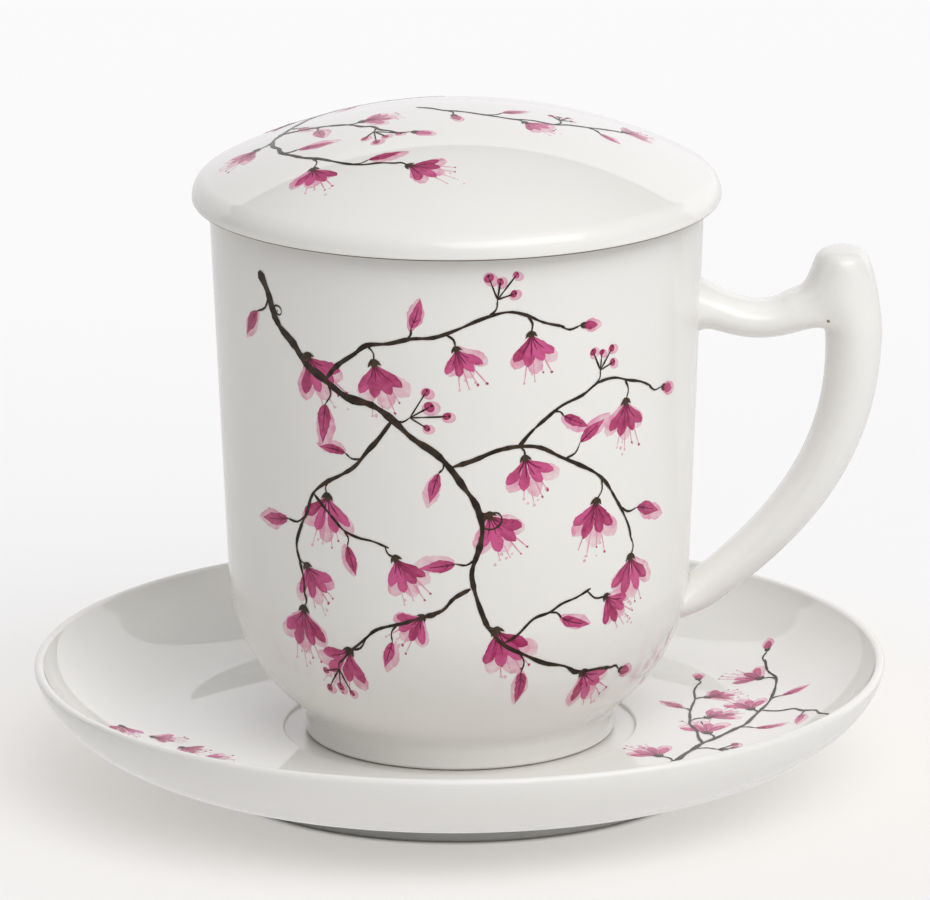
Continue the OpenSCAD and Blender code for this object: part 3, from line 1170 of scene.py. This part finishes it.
class TopWrap(Wrap):
    """A dish or crown seen from above: a spot's distance from the middle runs along the surface."""

    def place(self, spot: Vector, lift: float) -> Vector:
        """Point over a spot of the drawing.

        Args:
            spot: Spot as seen from above.
            lift: Height over the surface.

        Returns:
            The point.
        """
        distance = max(spot.length, WELD)
        point, normal = self.line.at(distance)
        upwards = 1.0 if normal.y > 0 else -1.0
        radius = point.x + normal.x * lift * upwards
        return Vector((spot.x / distance * radius, spot.y / distance * radius,
                       point.y + normal.y * lift * upwards))


class Motif(Enum):
    """What grows on a stem."""

    BELL = "bell"
    LEAF = "leaf"
    BERRIES = "berries"
    BUD = "bud"


class Sketch:
    """A flat drawing in millimetres, one sheet for each ink."""

    LAYERS = 8                      # overlapping shapes of one ink take turns at this many heights
    LAYER_STEP = 0.002
    INK_T = 0.03
    BLADE_STEPS = 13
    BLADE_COLUMNS = 4
    STROKE_COLUMNS = 2
    DISC_SIDES = 14
    # Parts of a bell and stalks of berries: degrees off the axis, and length as a share of the size
    BELL_WASHES = ((-30, 1.1), (0, 1.2), (30, 1.12))
    BELL_PETALS = ((-30, 0.93), (30, 0.96), (-10, 1.02), (12, 0.98))
    BERRY_STALKS = ((-44, 0.5), (-8, 0.8), (20, 0.55), (48, 0.72))
    # Parts that are all of one length: degrees off the axis
    BELL_VEINS = (-24, -6, 9, 25)
    BELL_SEPALS = (-42, -14, 14, 42)
    BELL_STAMENS = (-15, -3, 9, 19)
    BUD_SEPALS = (-24, 24)
    CURL_STEPS = 12

    def __init__(self, seed: int, droop: Vector) -> None:
        """Starts with four empty sheets.

        Args:
            seed: Seed of the hand's small errors.
            droop: Where the bells hang, by how much they are drawn that way.
        """
        self.random = random.Random(seed)
        self.droop = droop
        self.sheets = {ink: bmesh.new() for ink in Ink}
        for sheet in self.sheets.values():
            sheet.verts.layers.float.new(TONE)
        self.count = 0

    # Shapes

    def blade(self, ink: Ink, base: Vector, heading: Vector, length: float, width: float,
              tone: float, belly: float = 0.5, tip: float = 1.0, bend: float = 0.0) -> None:
        """Draws one petal or leaf, its edges a little ragged as from a brush.

        Args:
            ink: The ink.
            base: Where it grows from.
            heading: Its direction.
            length: Its length.
            width: Its greatest width.
            tone: How full the ink is at its base, from 0 to 1.
            belly: Where it is widest, as a share of its length.
            tip: Power of its tip, where 0.5 is round and 1 or more is pointed.
            bend: How far it bends sideways, as a share of its length.
        """
        along = heading.normalized()
        aside = Vector((-along.y, along.x))
        phase = self.random.uniform(0, PHASES)
        rag = [self.random.uniform(-1, 1) for _ in range(2 * self.BLADE_STEPS + 2)]
        warp = math.log(0.5) / math.log(belly)

        def shape(t: float, across: float) -> tuple[Vector, float]:
            """Spot and tone of the blade.

            Args:
                t: Share along it.
                across: Place across it, from -1 to 1.

            Returns:
                The spot and the tone.
            """
            row = round(t * self.BLADE_STEPS) * 2 + (across > 0)
            swell = max(math.sin(math.pi * max(t, 0.0) ** warp), 0.0)
            half = width / 2 * swell ** (tip if t > belly else 0.75)
            half *= 1 + 0.09 * math.sin(9 * t + phase) + 0.10 * rag[row]
            sway = bend * length * t * t
            spot = base + along * (length * t) + aside * (sway + half * across)
            streak = 0.16 * math.sin(3.1 * across + phase) + 0.14 * rag[-row - 1]
            return spot, tone - 0.3 * t * t + 0.22 * abs(across) + streak

        self._grid(ink, self.BLADE_STEPS, self.BLADE_COLUMNS, shape)

    def stroke(self, ink: Ink, points: Sequence[Vector], start_w: float, end_w: float,
               tone: float, steps: int) -> list[Vector]:
        """Draws one brush line.

        Args:
            ink: The ink.
            points: Points that it runs through.
            start_w: Width at its start.
            end_w: Width at its end.
            tone: How full the ink is.
            steps: Pieces between two points.

        Returns:
            Its middle line.
        """
        line = through(points, steps)
        last = len(line) - 1
        phase = self.random.uniform(0, PHASES)
        swells = [self.random.uniform(-1, 1) for _ in line]

        def shape(t: float, across: float) -> tuple[Vector, float]:
            """Spot and tone of the line.

            Args:
                t: Share along it.
                across: Place across it, from -1 to 1.

            Returns:
                The spot and the tone.
            """
            k = min(int(round(t * last)), last)
            ahead = line[min(k + 1, last)] - line[max(k - 1, 0)]
            aside = Vector((-ahead.y, ahead.x)).normalized()
            half = blend(start_w, end_w, t) / 2
            half *= 1 + 0.2 * math.sin(k * 0.9 + phase) + 0.2 * swells[k]
            if k in (0, last):
                half *= 0.45
            return line[k] + aside * half * across, tone + 0.3 * swells[k]

        self._grid(ink, last, self.STROKE_COLUMNS, shape)
        return line

    def disc(self, ink: Ink, centre: Vector, radius: float, tone: float) -> None:
        """Draws a round spot, a little out of true.

        Args:
            ink: The ink.
            centre: Its middle.
            radius: Its radius.
            tone: How full the ink is.
        """
        sheet = self.sheets[ink]
        layer = sheet.verts.layers.float[TONE]
        made = bmesh.ops.create_circle(sheet, segments=self.DISC_SIDES, radius=radius,
                                       cap_ends=True, cap_tris=True)
        phase = self.random.uniform(0, PHASES)
        lift = self._next_lift()
        for vert in made["verts"]:
            edge = vert.co.length > radius / 2
            turn = math.atan2(vert.co.y, vert.co.x)
            vert.co *= 1 + 0.12 * math.sin(2 * turn + phase)
            vert[layer] = tone + (0.2 if edge else -0.25)
            vert.co = (vert.co.x + centre.x, vert.co.y + centre.y, lift)

    def splash(self, centre: Vector, reach: float, count: int) -> None:
        """Draws a few droplets of wash around a spot.

        Args:
            centre: The spot.
            reach: Spread of the droplets.
            count: How many there are.
        """
        for _ in range(count):
            way = Vector((self.random.gauss(0, reach), self.random.gauss(0, reach)))
            self.disc(Ink.WASH, centre + way, self.random.uniform(0.12, 0.3), 0.5)

    # Motifs

    def leaf(self, base: Vector, heading: Vector, size: float) -> None:
        """A pointed leaf with a wash behind it, a dark midrib and two side veins.

        Args:
            base: Where it grows from.
            heading: Its direction.
            size: Its size.
        """
        bend = self.random.uniform(-0.2, 0.2)
        slip = Vector((self.random.uniform(-0.6, 0.6), self.random.uniform(-0.6, 0.6)))
        self.blade(Ink.WASH, base + slip, heading, size * 1.14, size * 0.5,
                   self.random.uniform(0.3, 0.7), 0.48, 0.8, bend)
        self.blade(Ink.BLOOM, base, heading, size, size * 0.34,
                   self.random.uniform(0.2, 0.8), 0.42, 1.1, bend)
        along = heading.normalized()
        aside = Vector((-along.y, along.x))
        rib = [base + along * size * t + aside * bend * size * t * t for t in (0.0, 0.35, 0.74)]
        self.stroke(Ink.DEEP, rib, 0.3, 0.12, 0.3, 4)
        for side in (-1, 1):
            vein = [rib[1] * 0.5 + rib[0] * 0.5, rib[1] + aside * side * size * 0.1]
            self.stroke(Ink.DEEP, vein, 0.2, 0.1, 0.2, 3)

    def bell(self, base: Vector, heading: Vector, size: float) -> None:
        """A hanging bell flower: petals with veins, a cup of sepals, and stamens past its mouth.

        Args:
            base: Where it grows from.
            heading: Its direction.
            size: Its size.
        """
        along = heading.normalized()
        slip = Vector((self.random.uniform(-0.7, 0.7), self.random.uniform(-0.7, 0.7)))
        open_by = self.random.uniform(0.8, 1.25)
        for turn, reach in self.BELL_WASHES:
            self.blade(Ink.WASH, base + slip, rotated(along, turn * open_by), size * reach, size * 0.5,
                       self.random.uniform(0.25, 0.8), 0.68, 0.55, turn / 300)
        for turn, reach in self.BELL_PETALS:
            self.blade(Ink.BLOOM, base, rotated(along, turn * open_by),
                       size * reach * self.random.uniform(0.92, 1.06), size * 0.31,
                       self.random.uniform(0.05, 0.9), 0.7, 0.6, turn / 170)
        for turn in self.BELL_VEINS:
            way = rotated(along, turn * open_by)
            far = size * self.random.uniform(0.5, 0.72)
            self.stroke(Ink.DEEP, [base, base + way * far * 0.5, base + rotated(way, turn / 3) * far],
                        0.34, 0.12, self.random.uniform(0.1, 0.5), 3)
        for turn in self.BELL_SEPALS:
            self.blade(Ink.STEM, base - along * size * 0.08, rotated(along, turn), size * 0.27,
                       size * 0.1, 0.4, 0.4, 1.0)
        for turn in self.BELL_STAMENS:
            way = rotated(along, turn)
            tip = base + way * size * self.random.uniform(1.2, 1.55)
            self.stroke(Ink.WASH, [base + way * size * 0.8, tip], 0.24, 0.16, 1.0, 3)
            self.disc(Ink.WASH if turn < 0 else Ink.BLOOM, tip, self.random.uniform(0.16, 0.27), 0.4)
        self.splash(base + along * size * 1.25, size * 0.2, 4)

    def bud(self, base: Vector, heading: Vector, size: float) -> None:
        """A closed bud in two dark sepals.

        Args:
            base: Where it grows from.
            heading: Its direction.
            size: Its size.
        """
        self.blade(Ink.WASH, base, heading, size * 0.82, size * 0.44, 0.6, 0.58, 0.7)
        self.blade(Ink.BLOOM, base, heading, size * 0.66, size * 0.28, self.random.uniform(0.3, 0.9),
                   0.55, 0.8)
        for turn in self.BUD_SEPALS:
            self.blade(Ink.STEM, base, rotated(heading, turn), size * 0.24, size * 0.11, 0.4, 0.45, 1.0)

    def berries(self, base: Vector, heading: Vector, size: float) -> None:
        """Berries on short stalks.

        Args:
            base: Where it grows from.
            heading: Its direction.
            size: Its size.
        """
        for turn, reach in self.BERRY_STALKS:
            way = rotated(heading.normalized(), turn)
            spot = base + way * size * reach * self.random.uniform(0.9, 1.1)
            radius = size * self.random.uniform(0.085, 0.13)
            self.stroke(Ink.STEM, [base, base.lerp(spot, 0.5) + way * 0.1, spot], 0.3, 0.22, 0.7, 3)
            self.disc(Ink.WASH, spot + Vector((0.3, -0.25)), radius * 1.6, 0.5)
            self.disc(Ink.BLOOM, spot, radius, self.random.uniform(0.3, 0.9))
            self.disc(Ink.DEEP, spot + way * radius * 0.5, radius * 0.3, 0.8)

    def tendril(self, base: Vector, heading: Vector, size: float, turn: float) -> None:
        """A thin curl that winds in on itself.

        Args:
            base: Where it grows from.
            heading: Its direction.
            size: Its size.
            turn: Degrees that it turns at its first step, where the sign gives the side.
        """
        spots, spot, way = [base], base.copy(), heading.normalized()
        for k in range(self.CURL_STEPS):
            spot = spot + way * size * (1 - k / 15) * 0.15
            way = rotated(way, turn * (1 + k * 0.14))
            spots.append(spot)
        self.stroke(Ink.STEM, spots, 0.36, 0.16, 0.5, 2)

    def branch(self, points: Sequence[Vector], start_w: float, end_w: float,
               motifs: Sequence[Motif], size: float, first: float = 0.12) -> list[Vector]:
        """Draws a stem with motifs on alternate sides.

        Args:
            points: Points that the stem runs through.
            start_w: Its width where it starts.
            end_w: Its width at the tip.
            motifs: The kinds that it carries, from its foot to its tip.
            size: Their size.
            first: Where the first one sits, as a share of the stem.

        Returns:
            The stem's middle line.
        """
        wobble = [point + Vector((self.random.uniform(-0.5, 0.5), self.random.uniform(-0.5, 0.5)))
                  for point in through(points, 3)]
        line = self.stroke(Ink.STEM, [points[0], *wobble[1:-1], points[-1]], start_w, end_w, 0.75, 4)
        last = len(line) - 1
        for k, motif in enumerate(motifs):
            at = blend(first, 1.0, k / max(len(motifs) - 1, 1))
            index = min(int(at * last), last - 1)
            ahead = (line[index + 1] - line[index]).normalized()
            side = 1 if k % 2 else -1
            lean = 10 if k == len(motifs) - 1 else self.random.uniform(38, 70)
            way = rotated(ahead, side * lean)
            stalk = size * self.random.uniform(0.35, 0.75)
            if motif is Motif.BELL:
                way = (way + self.droop * 0.9).normalized()
            foot = line[index] + way * stalk
            middle = line[index] + rotated(way, -side * 20) * stalk * 0.55
            self.stroke(Ink.STEM, [line[index], middle, foot], max(end_w * 0.8, 0.36), 0.28, 0.7, 3)
            heading = (way + self.droop * 0.7).normalized() if motif is Motif.BELL else way
            self.grow(motif, foot, heading, size * self.random.uniform(0.82, 1.14))
        return line

    def grow(self, motif: Motif, base: Vector, heading: Vector, size: float) -> None:
        """Draws one motif.

        Args:
            motif: Its kind.
            base: Where it grows from.
            heading: Its direction.
            size: Its size.
        """
        if motif is Motif.BELL:
            self.bell(base, heading, size)
        elif motif is Motif.LEAF:
            self.leaf(base, heading, size * 0.95)
        elif motif is Motif.BERRIES:
            self.berries(base, heading, size)
        else:
            self.bud(base, heading, size)

    def print_on(self, wrap: Wrap, name: str, body: str) -> None:
        """Lays every sheet on a surface and gives it the thickness of a printed ink.

        Args:
            wrap: The surface.
            name: First part of the pieces' names.
            body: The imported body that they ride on.
        """
        for ink in INKS:
            sheet = self.sheets[ink.ink]
            for vert in sheet.verts:
                vert.co = wrap.place(Vector((vert.co.x, vert.co.y)), ink.lift + vert.co.z)
            bmesh.ops.solidify(sheet, geom=sheet.faces[:], thickness=self.INK_T)
            bmesh.ops.recalc_face_normals(sheet, faces=sheet.faces)
            make_piece(sheet, f"{name}_{ink.ink.value}", body, ink.material())

    def _next_lift(self) -> float:
        """Height of the next shape over the shapes of its ink."""
        self.count += 1
        return self.count % self.LAYERS * self.LAYER_STEP

    def _grid(self, ink: Ink, along: int, across: int, shape: ShapeRule) -> None:
        """Adds a grid of faces and moves it into a shape.

        Args:
            ink: The ink.
            along: Faces along the shape.
            across: Faces across it.
            shape: Rule that gives the spot and tone at a share along and from -1 to 1 across.
        """
        sheet = self.sheets[ink]
        layer = sheet.verts.layers.float[TONE]
        lift = self._next_lift()
        verts = bmesh.ops.create_grid(sheet, x_segments=along, y_segments=across, size=1.0)["verts"]
        for vert in verts:
            spot, tone = shape((vert.co.x + 1) / 2, vert.co.y)
            vert.co = (spot.x, spot.y, lift)
            vert[layer] = tone
        bmesh.ops.remove_doubles(sheet, verts=verts, dist=0.01)


def rotated(way: Vector, degrees: float) -> Vector:
    """Flat direction turned anticlockwise."""
    angle = math.radians(degrees)
    return Vector((way.x * math.cos(angle) - way.y * math.sin(angle),
                   way.x * math.sin(angle) + way.y * math.cos(angle)))


def polar(radius: float, azimuth: float) -> Vector:
    """Flat point at a distance and an angle in degrees, where -90 is the front."""
    angle = math.radians(azimuth)
    return Vector((radius * math.cos(angle), radius * math.sin(angle)))


def spots(*pairs: tuple[float, float]) -> list[Vector]:
    """Pairs of numbers as flat points."""
    return [Vector(pair) for pair in pairs]


class TrailingVine:
    """The generic print: a vine of bell flowers, leaves and berries that hangs from the rim."""

    def draw_mug(self) -> Sketch:
        """The mug's drawing: across from the front line, up from the table.

        Returns:
            The drawing.
        """
        sketch = Sketch(11, Vector((0.0, -1.0)))
        bell, leaf, berries, bud = Motif.BELL, Motif.LEAF, Motif.BERRIES, Motif.BUD
        sketch.branch(spots((-37, 98), (-32, 89), (-23, 81), (-11, 75), (-1, 67), (4, 56), (2, 45), (8, 35),
                            (19, 29), (31, 27)), 1.5, 0.5,
                      (leaf, bell, leaf, berries, leaf, bell, leaf, bell, leaf, bell, bud), 6.8, 0.05)
        sketch.branch(spots((-23, 81), (-15, 88), (-4, 90), (8, 94), (18, 91)), 0.8, 0.4,
                      (bell, leaf, bell, berries, bell, bud), 6.2, 0.25)
        sketch.branch(spots((-1, 67), (10, 70), (21, 66), (29, 59), (33, 50)), 0.8, 0.4,
                      (bell, leaf, bell, leaf, bell), 6.4, 0.25)
        sketch.branch(spots((10, 70), (18, 77), (28, 80), (37, 77)), 0.6, 0.35,
                      (leaf, berries, bell, bud), 5.8, 0.3)
        sketch.branch(spots((-11, 75), (-18, 66), (-26, 60), (-30, 50), (-29, 41)), 0.8, 0.4,
                      (leaf, bell, leaf, bell, bell), 6.4, 0.22)
        sketch.branch(spots((-26, 60), (-20, 54), (-12, 52)), 0.5, 0.35, (leaf, bell), 5.8, 0.5)
        sketch.branch(spots((2, 45), (-6, 40), (-15, 37), (-22, 30)), 0.7, 0.4,
                      (bell, leaf, bell, berries), 6.2, 0.25)
        sketch.branch(spots((8, 35), (16, 40), (24, 43)), 0.5, 0.35, (leaf, bell), 5.8, 0.5)
        sketch.tendril(Vector((-32, 89)), Vector((-1, 0.4)), 8, -26)
        sketch.tendril(Vector((4, 56)), Vector((1, -0.3)), 8, 26)
        return sketch

    def draw_lid(self) -> Sketch:
        """The lid's drawing, seen from above.

        Returns:
            The drawing.
        """
        sketch = Sketch(5, Vector((0.0, 0.0)))
        bell, leaf, berries, bud = Motif.BELL, Motif.LEAF, Motif.BERRIES, Motif.BUD
        arc = [polar(33 - abs(a - 185) / 9, a) for a in range(95, 266, 19)]
        sketch.branch(arc, 1.1, 0.45, (bell, leaf, berries, leaf, bell, leaf, bell, leaf, bell), 6.4)
        sketch.branch([polar(32, 171), polar(24, 178), polar(17, 196), polar(15, 222)], 0.6, 0.4,
                      (leaf, bell, berries, bud), 5.8, 0.3)
        sketch.branch(spots((-7, 4), (1, -1), (10, -4), (20, -3), (29, 2)), 0.5, 0.35,
                      (bud, leaf, bell, berries, leaf, bell), 5.0, 0.2)
        return sketch

    def draw_saucer(self) -> Sketch:
        """The saucer's drawing, seen from above.

        Returns:
            The drawing.
        """
        sketch = Sketch(8, Vector((0.0, 0.0)))
        bell, leaf, berries, bud = Motif.BELL, Motif.LEAF, Motif.BERRIES, Motif.BUD
        arc = [polar(46.5, -47), polar(44, -32), polar(45, -18), polar(49, -6), polar(54, 6),
               polar(59, 17), polar(63, 29)]
        sketch.branch(arc, 1.0, 0.4,
                      (leaf, bell, berries, bell, leaf, bell, leaf, bell, bud), 6.0, 0.04)
        sketch.branch([polar(45, -18), polar(41, -3), polar(42, 12), polar(49, 29)], 0.6, 0.35,
                      (bell, leaf, bell, bud), 5.6, 0.4)
        sketch.branch([polar(54, 6), polar(61, 1), polar(66, -7)], 0.5, 0.35, (leaf, bell), 5.4, 0.5)
        sketch.branch([polar(46.5, -47), polar(45, -58), polar(46, -70)], 0.5, 0.35,
                      (leaf, bell), 5.2, 0.5)
        for place, way in (((60, 185), -70), ((55, 189), -12), ((51, 196), -38), ((50, 204), -8)):
            sketch.bell(polar(*place), polar(1, way), 4.2)
        return sketch


# ---------------------------------------------------------------- studio


@dataclass(frozen=True)
class Glow:
    """A wide, soft pool of light in the surroundings."""

    azimuth: float                  # degrees, where 0 is the right, 90 the back and 270 the front
    elevation: float
    level: float
    inner: float = 6.0              # half angles of its full middle and of its end
    outer: float = 42.0

    def way(self) -> Vector:
        """Direction of its middle.

        Returns:
            A direction of length 1.
        """
        azimuth, elevation = math.radians(self.azimuth), math.radians(self.elevation)
        flat = math.cos(elevation)
        return Vector((flat * math.cos(azimuth), flat * math.sin(azimuth), math.sin(elevation)))

    def light(self, shader: Shader, way: Value) -> Value:
        """Its light from a direction of the world.

        Args:
            shader: The world's shader.
            way: The direction looked in.

        Returns:
            The level of its light there.
        """
        facing = shader.out("ShaderNodeVectorMath", "Value", {"operation": "DOT_PRODUCT"},
                            {0: way, 1: self.way()})
        rim, middle = math.cos(math.radians(self.outer)), math.cos(math.radians(self.inner))
        return facing.smooth(rim, middle) * self.level


@dataclass(frozen=True)
class Softbox:
    """A flat, even lamp that the camera doesn't see but the glaze mirrors."""

    name: str
    place: tuple[float, float, float]
    size: tuple[float, float]
    strength: float                 # where 1 is white
    tint: tuple[float, float, float] = (1.0, 1.0, 1.0)
    level: bool = False             # whether it stands upright, or else faces the part
    aim: tuple[float, float, float] = (0.0, 0.0, 0.11)

    def build(self) -> bpy.types.Object:
        """Hangs the lamp.

        Returns:
            The lamp.
        """
        width, height = self.size
        data = bpy.data.lights.new(self.name, "AREA")
        data.shape = "RECTANGLE"
        data.size, data.size_y = self.size
        data.energy = self.strength * math.pi * width * height
        data.color = self.tint
        lamp = bpy.data.objects.new(self.name, data)
        target = Vector((self.aim[0], self.aim[1], self.place[2] if self.level else self.aim[2]))
        lamp.location = self.place
        lamp.rotation_euler = (target - Vector(self.place)).to_track_quat("-Z", "Y").to_euler()
        lamp.visible_camera = False
        bpy.context.scene.collection.objects.link(lamp)
        return lamp


@dataclass
class Studio:
    """Pale floor, soft surroundings, two softboxes and the camera."""

    floor_r: float = 6.0            # metres, as all sizes of the studio are
    floor_colour: tuple[float, float, float] = (0.95, 0.94, 0.94)
    floor_back: tuple[float, float, float] = (0.97, 0.965, 0.97)
    floor_gloss: tuple[float, float, float] = (0.80, 0.79, 0.79)
    hidden_y: float = 0.70          # where the back panel hides the floor from a gloss
    hidden_edge: float = 0.01
    floor_glow: tuple[float, float, float] = (0.92, 0.915, 0.92)
    # Warmer near the part: painted bounce light in the part's shadow
    floor_glow_near: tuple[float, float, float] = (0.93, 0.90, 0.86)
    floor_glow_back: tuple[float, float, float] = (0.965, 0.96, 0.97)
    floor_share: float = 0.5        # of the glow in what the camera sees of the floor, and all in a gloss
    floor_share_right: float = 0.2  # added to it on the right, where the glow lifts the part's shadow as painted light
    # Where the floor's tones run from their first to their second, in metres
    back_y: tuple[float, float] = (-0.25, 0.6)
    right_x: tuple[float, float] = (-0.02, 0.10)
    near_reach: tuple[float, float] = (0.16, 0.08)
    clear_reach: tuple[float, float] = (0.0425, 0.0450)
    far_reach: tuple[float, float] = (0.18, 0.40)
    floor_sides: int = 96
    gloss_share: float = 0.06       # of the white backdrop in a gloss, under the lamps
    ambient: float = 0.02
    glows: tuple[Glow, ...] = (Glow(45, 6, 0.25), Glow(180, 32, 0.46), Glow(270, 32, 0.26),
                               Glow(315, 32, 1.20), Glow(0, 60, 0.45), Glow(300, 60, 1.15),
                               Glow(0, 90, 0.42), Glow(100, 60, 0.68, 4, 33))
    boxes: tuple[Softbox, ...] = (
        Softbox("key_box", (0.47, -0.85, 1.12), (1.43, 0.72), 1.95),
        Softbox("back_panel", (0.0, 0.70, 0.32), (2.40, 0.64), 0.96, (0.98, 0.96, 1.0), level=True),
    )
    camera_place: tuple[float, float, float] = (0.0012, -1.7727, 0.5424)
    camera_drop: float = 0.2664
    camera_roll: float = -0.006
    lens: float = 405.26
    sensor: float = 36.0
    clip: tuple[float, float] = (0.1, 50.0)

    def build(self) -> None:
        """Sets everything around the part."""
        self._floor()
        self._surroundings()
        for box in self.boxes:
            box.build()
        self._camera()
        bpy.context.scene.view_settings.view_transform = "Standard"

    def _floor(self) -> None:
        """Pale floor, a little lighter towards the back, which keeps the part's shadow, lifted by a glow
        that the camera sees as painted light, most on the right and warm near the part.
        """
        mesh = bmesh.new()
        bmesh.ops.create_circle(mesh, segments=self.floor_sides, radius=self.floor_r, cap_ends=True)
        data = bpy.data.meshes.new("floor")
        mesh.to_mesh(data)
        mesh.free()
        floor = bpy.data.objects.new("floor", data)
        bpy.context.scene.collection.objects.link(floor)
        material, shader = new_material("floor")
        place = shader.place()
        x, y = shader.axis(place, "X"), shader.axis(place, "Y")
        back = y.smooth(*self.back_y)
        reach = (x * x + y * y) ** 0.5
        matt = shader.node("ShaderNodeBsdfDiffuse", None, {
            "Color": shader.mix(back, self.floor_colour, self.floor_back),
        })
        camera, glossy, passing = self._sight(shader)
        far = shader.mix(back, self.floor_glow, self.floor_glow_back)
        direct = shader.mix(reach.smooth(*self.near_reach), far, self.floor_glow_near)
        hidden = y.smooth(self.hidden_y - self.hidden_edge, self.hidden_y)
        mirrored = shader.mix(hidden, self.floor_gloss, (0.0,) * 3)
        glow = shader.node("ShaderNodeEmission", None, {
            "Color": shader.mix(glossy, direct, mirrored),
        })
        clear = reach.smooth(*self.clear_reach)
        share = self.floor_share + x.smooth(*self.right_x) * self.floor_share_right
        share = share + reach.smooth(*self.far_reach) * (1.0 - share)
        seen = (camera * share + glossy + passing).clamped()
        surface = shader.node("ShaderNodeMixShader", None, {
            0: seen * clear,
            1: Value(shader, matt.outputs[0]), 2: Value(shader, glow.outputs[0]),
        })
        end_surface(shader, surface)
        data.materials.append(material)

    @staticmethod
    def _sight(shader: Shader) -> tuple[Value, Value, Value]:
        """Whether the camera looks straight on, in a gloss or through glass.

        Args:
            shader: Shader of the floor or the world.

        Returns:
            The three, each 0 or 1.
        """
        keys = ("Is Camera Ray", "Is Glossy Ray", "Is Transmission Ray")
        camera, glossy, passing = (shader.out("ShaderNodeLightPath", key) for key in keys)
        return camera, glossy, passing

    def _surroundings(self) -> None:
        """Soft pools of light, in front of a backdrop that is white to the camera."""
        world = bpy.data.worlds.new("studio")
        world.use_nodes = True
        bpy.context.scene.world = world
        shader = Shader(world.node_tree)
        way = shader.out("ShaderNodeTexCoord", "Generated")
        level = Value(shader, self.ambient)
        for glow in self.glows:
            level = level + glow.light(shader, way)
        camera, glossy, passing = self._sight(shader)
        seen = (camera + passing + glossy * self.gloss_share).clamped()
        level = level + seen * (1.0 - level)
        background = shader.node("ShaderNodeBackground", None, {"Strength": level})
        shader.node("ShaderNodeOutputWorld", None, {"Surface": Value(shader, background.outputs[0])})

    def _camera(self) -> None:
        """Sets the camera level, dips it and rolls it about its own axis."""
        data = bpy.data.cameras.new("camera")
        data.lens, data.sensor_width = self.lens, self.sensor
        data.clip_start, data.clip_end = self.clip
        camera = bpy.data.objects.new("camera", data)
        dip = Matrix.Rotation(math.pi / 2 - self.camera_drop, 4, "X")
        camera.matrix_world = (Matrix.Translation(self.camera_place) @ dip
                               @ Matrix.Rotation(self.camera_roll, 4, "Z"))
        bpy.context.scene.collection.objects.link(camera)
        bpy.context.scene.camera = camera


# ---------------------------------------------------------------- assembly


def main() -> None:
    """Builds the studio, then each sub-assembly from the saucer up."""
    logging.basicConfig(level=logging.INFO, format="%(message)s")
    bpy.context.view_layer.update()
    Studio().build()
    saucer = Saucer()
    saucer.build(Porcelain(name="saucer_glaze", bare_below=0.35))
    mug = MugBody()
    mug.build(Porcelain(name="mug_glaze", bare_below=mug.box.low.z + 0.35))
    handle = Handle().build(mug.side, Porcelain(name="handle_glaze"))
    Vent().build(handle, PinholeStainAndShade())
    Infuser().build(SatinSteel())
    lid = Lid()
    lid.build(mug.box.high.x)
    vine = TrailingVine()
    vine.draw_mug().print_on(SideWrap(mug.side, mug.belly_d / 2), "mug_print", "mug")
    vine.draw_lid().print_on(TopWrap(lid.crown), "lid_print", "lid")
    vine.draw_saucer().print_on(TopWrap(saucer.dish), "saucer_print", "saucer")


if __name__ == "__main__":
    main()
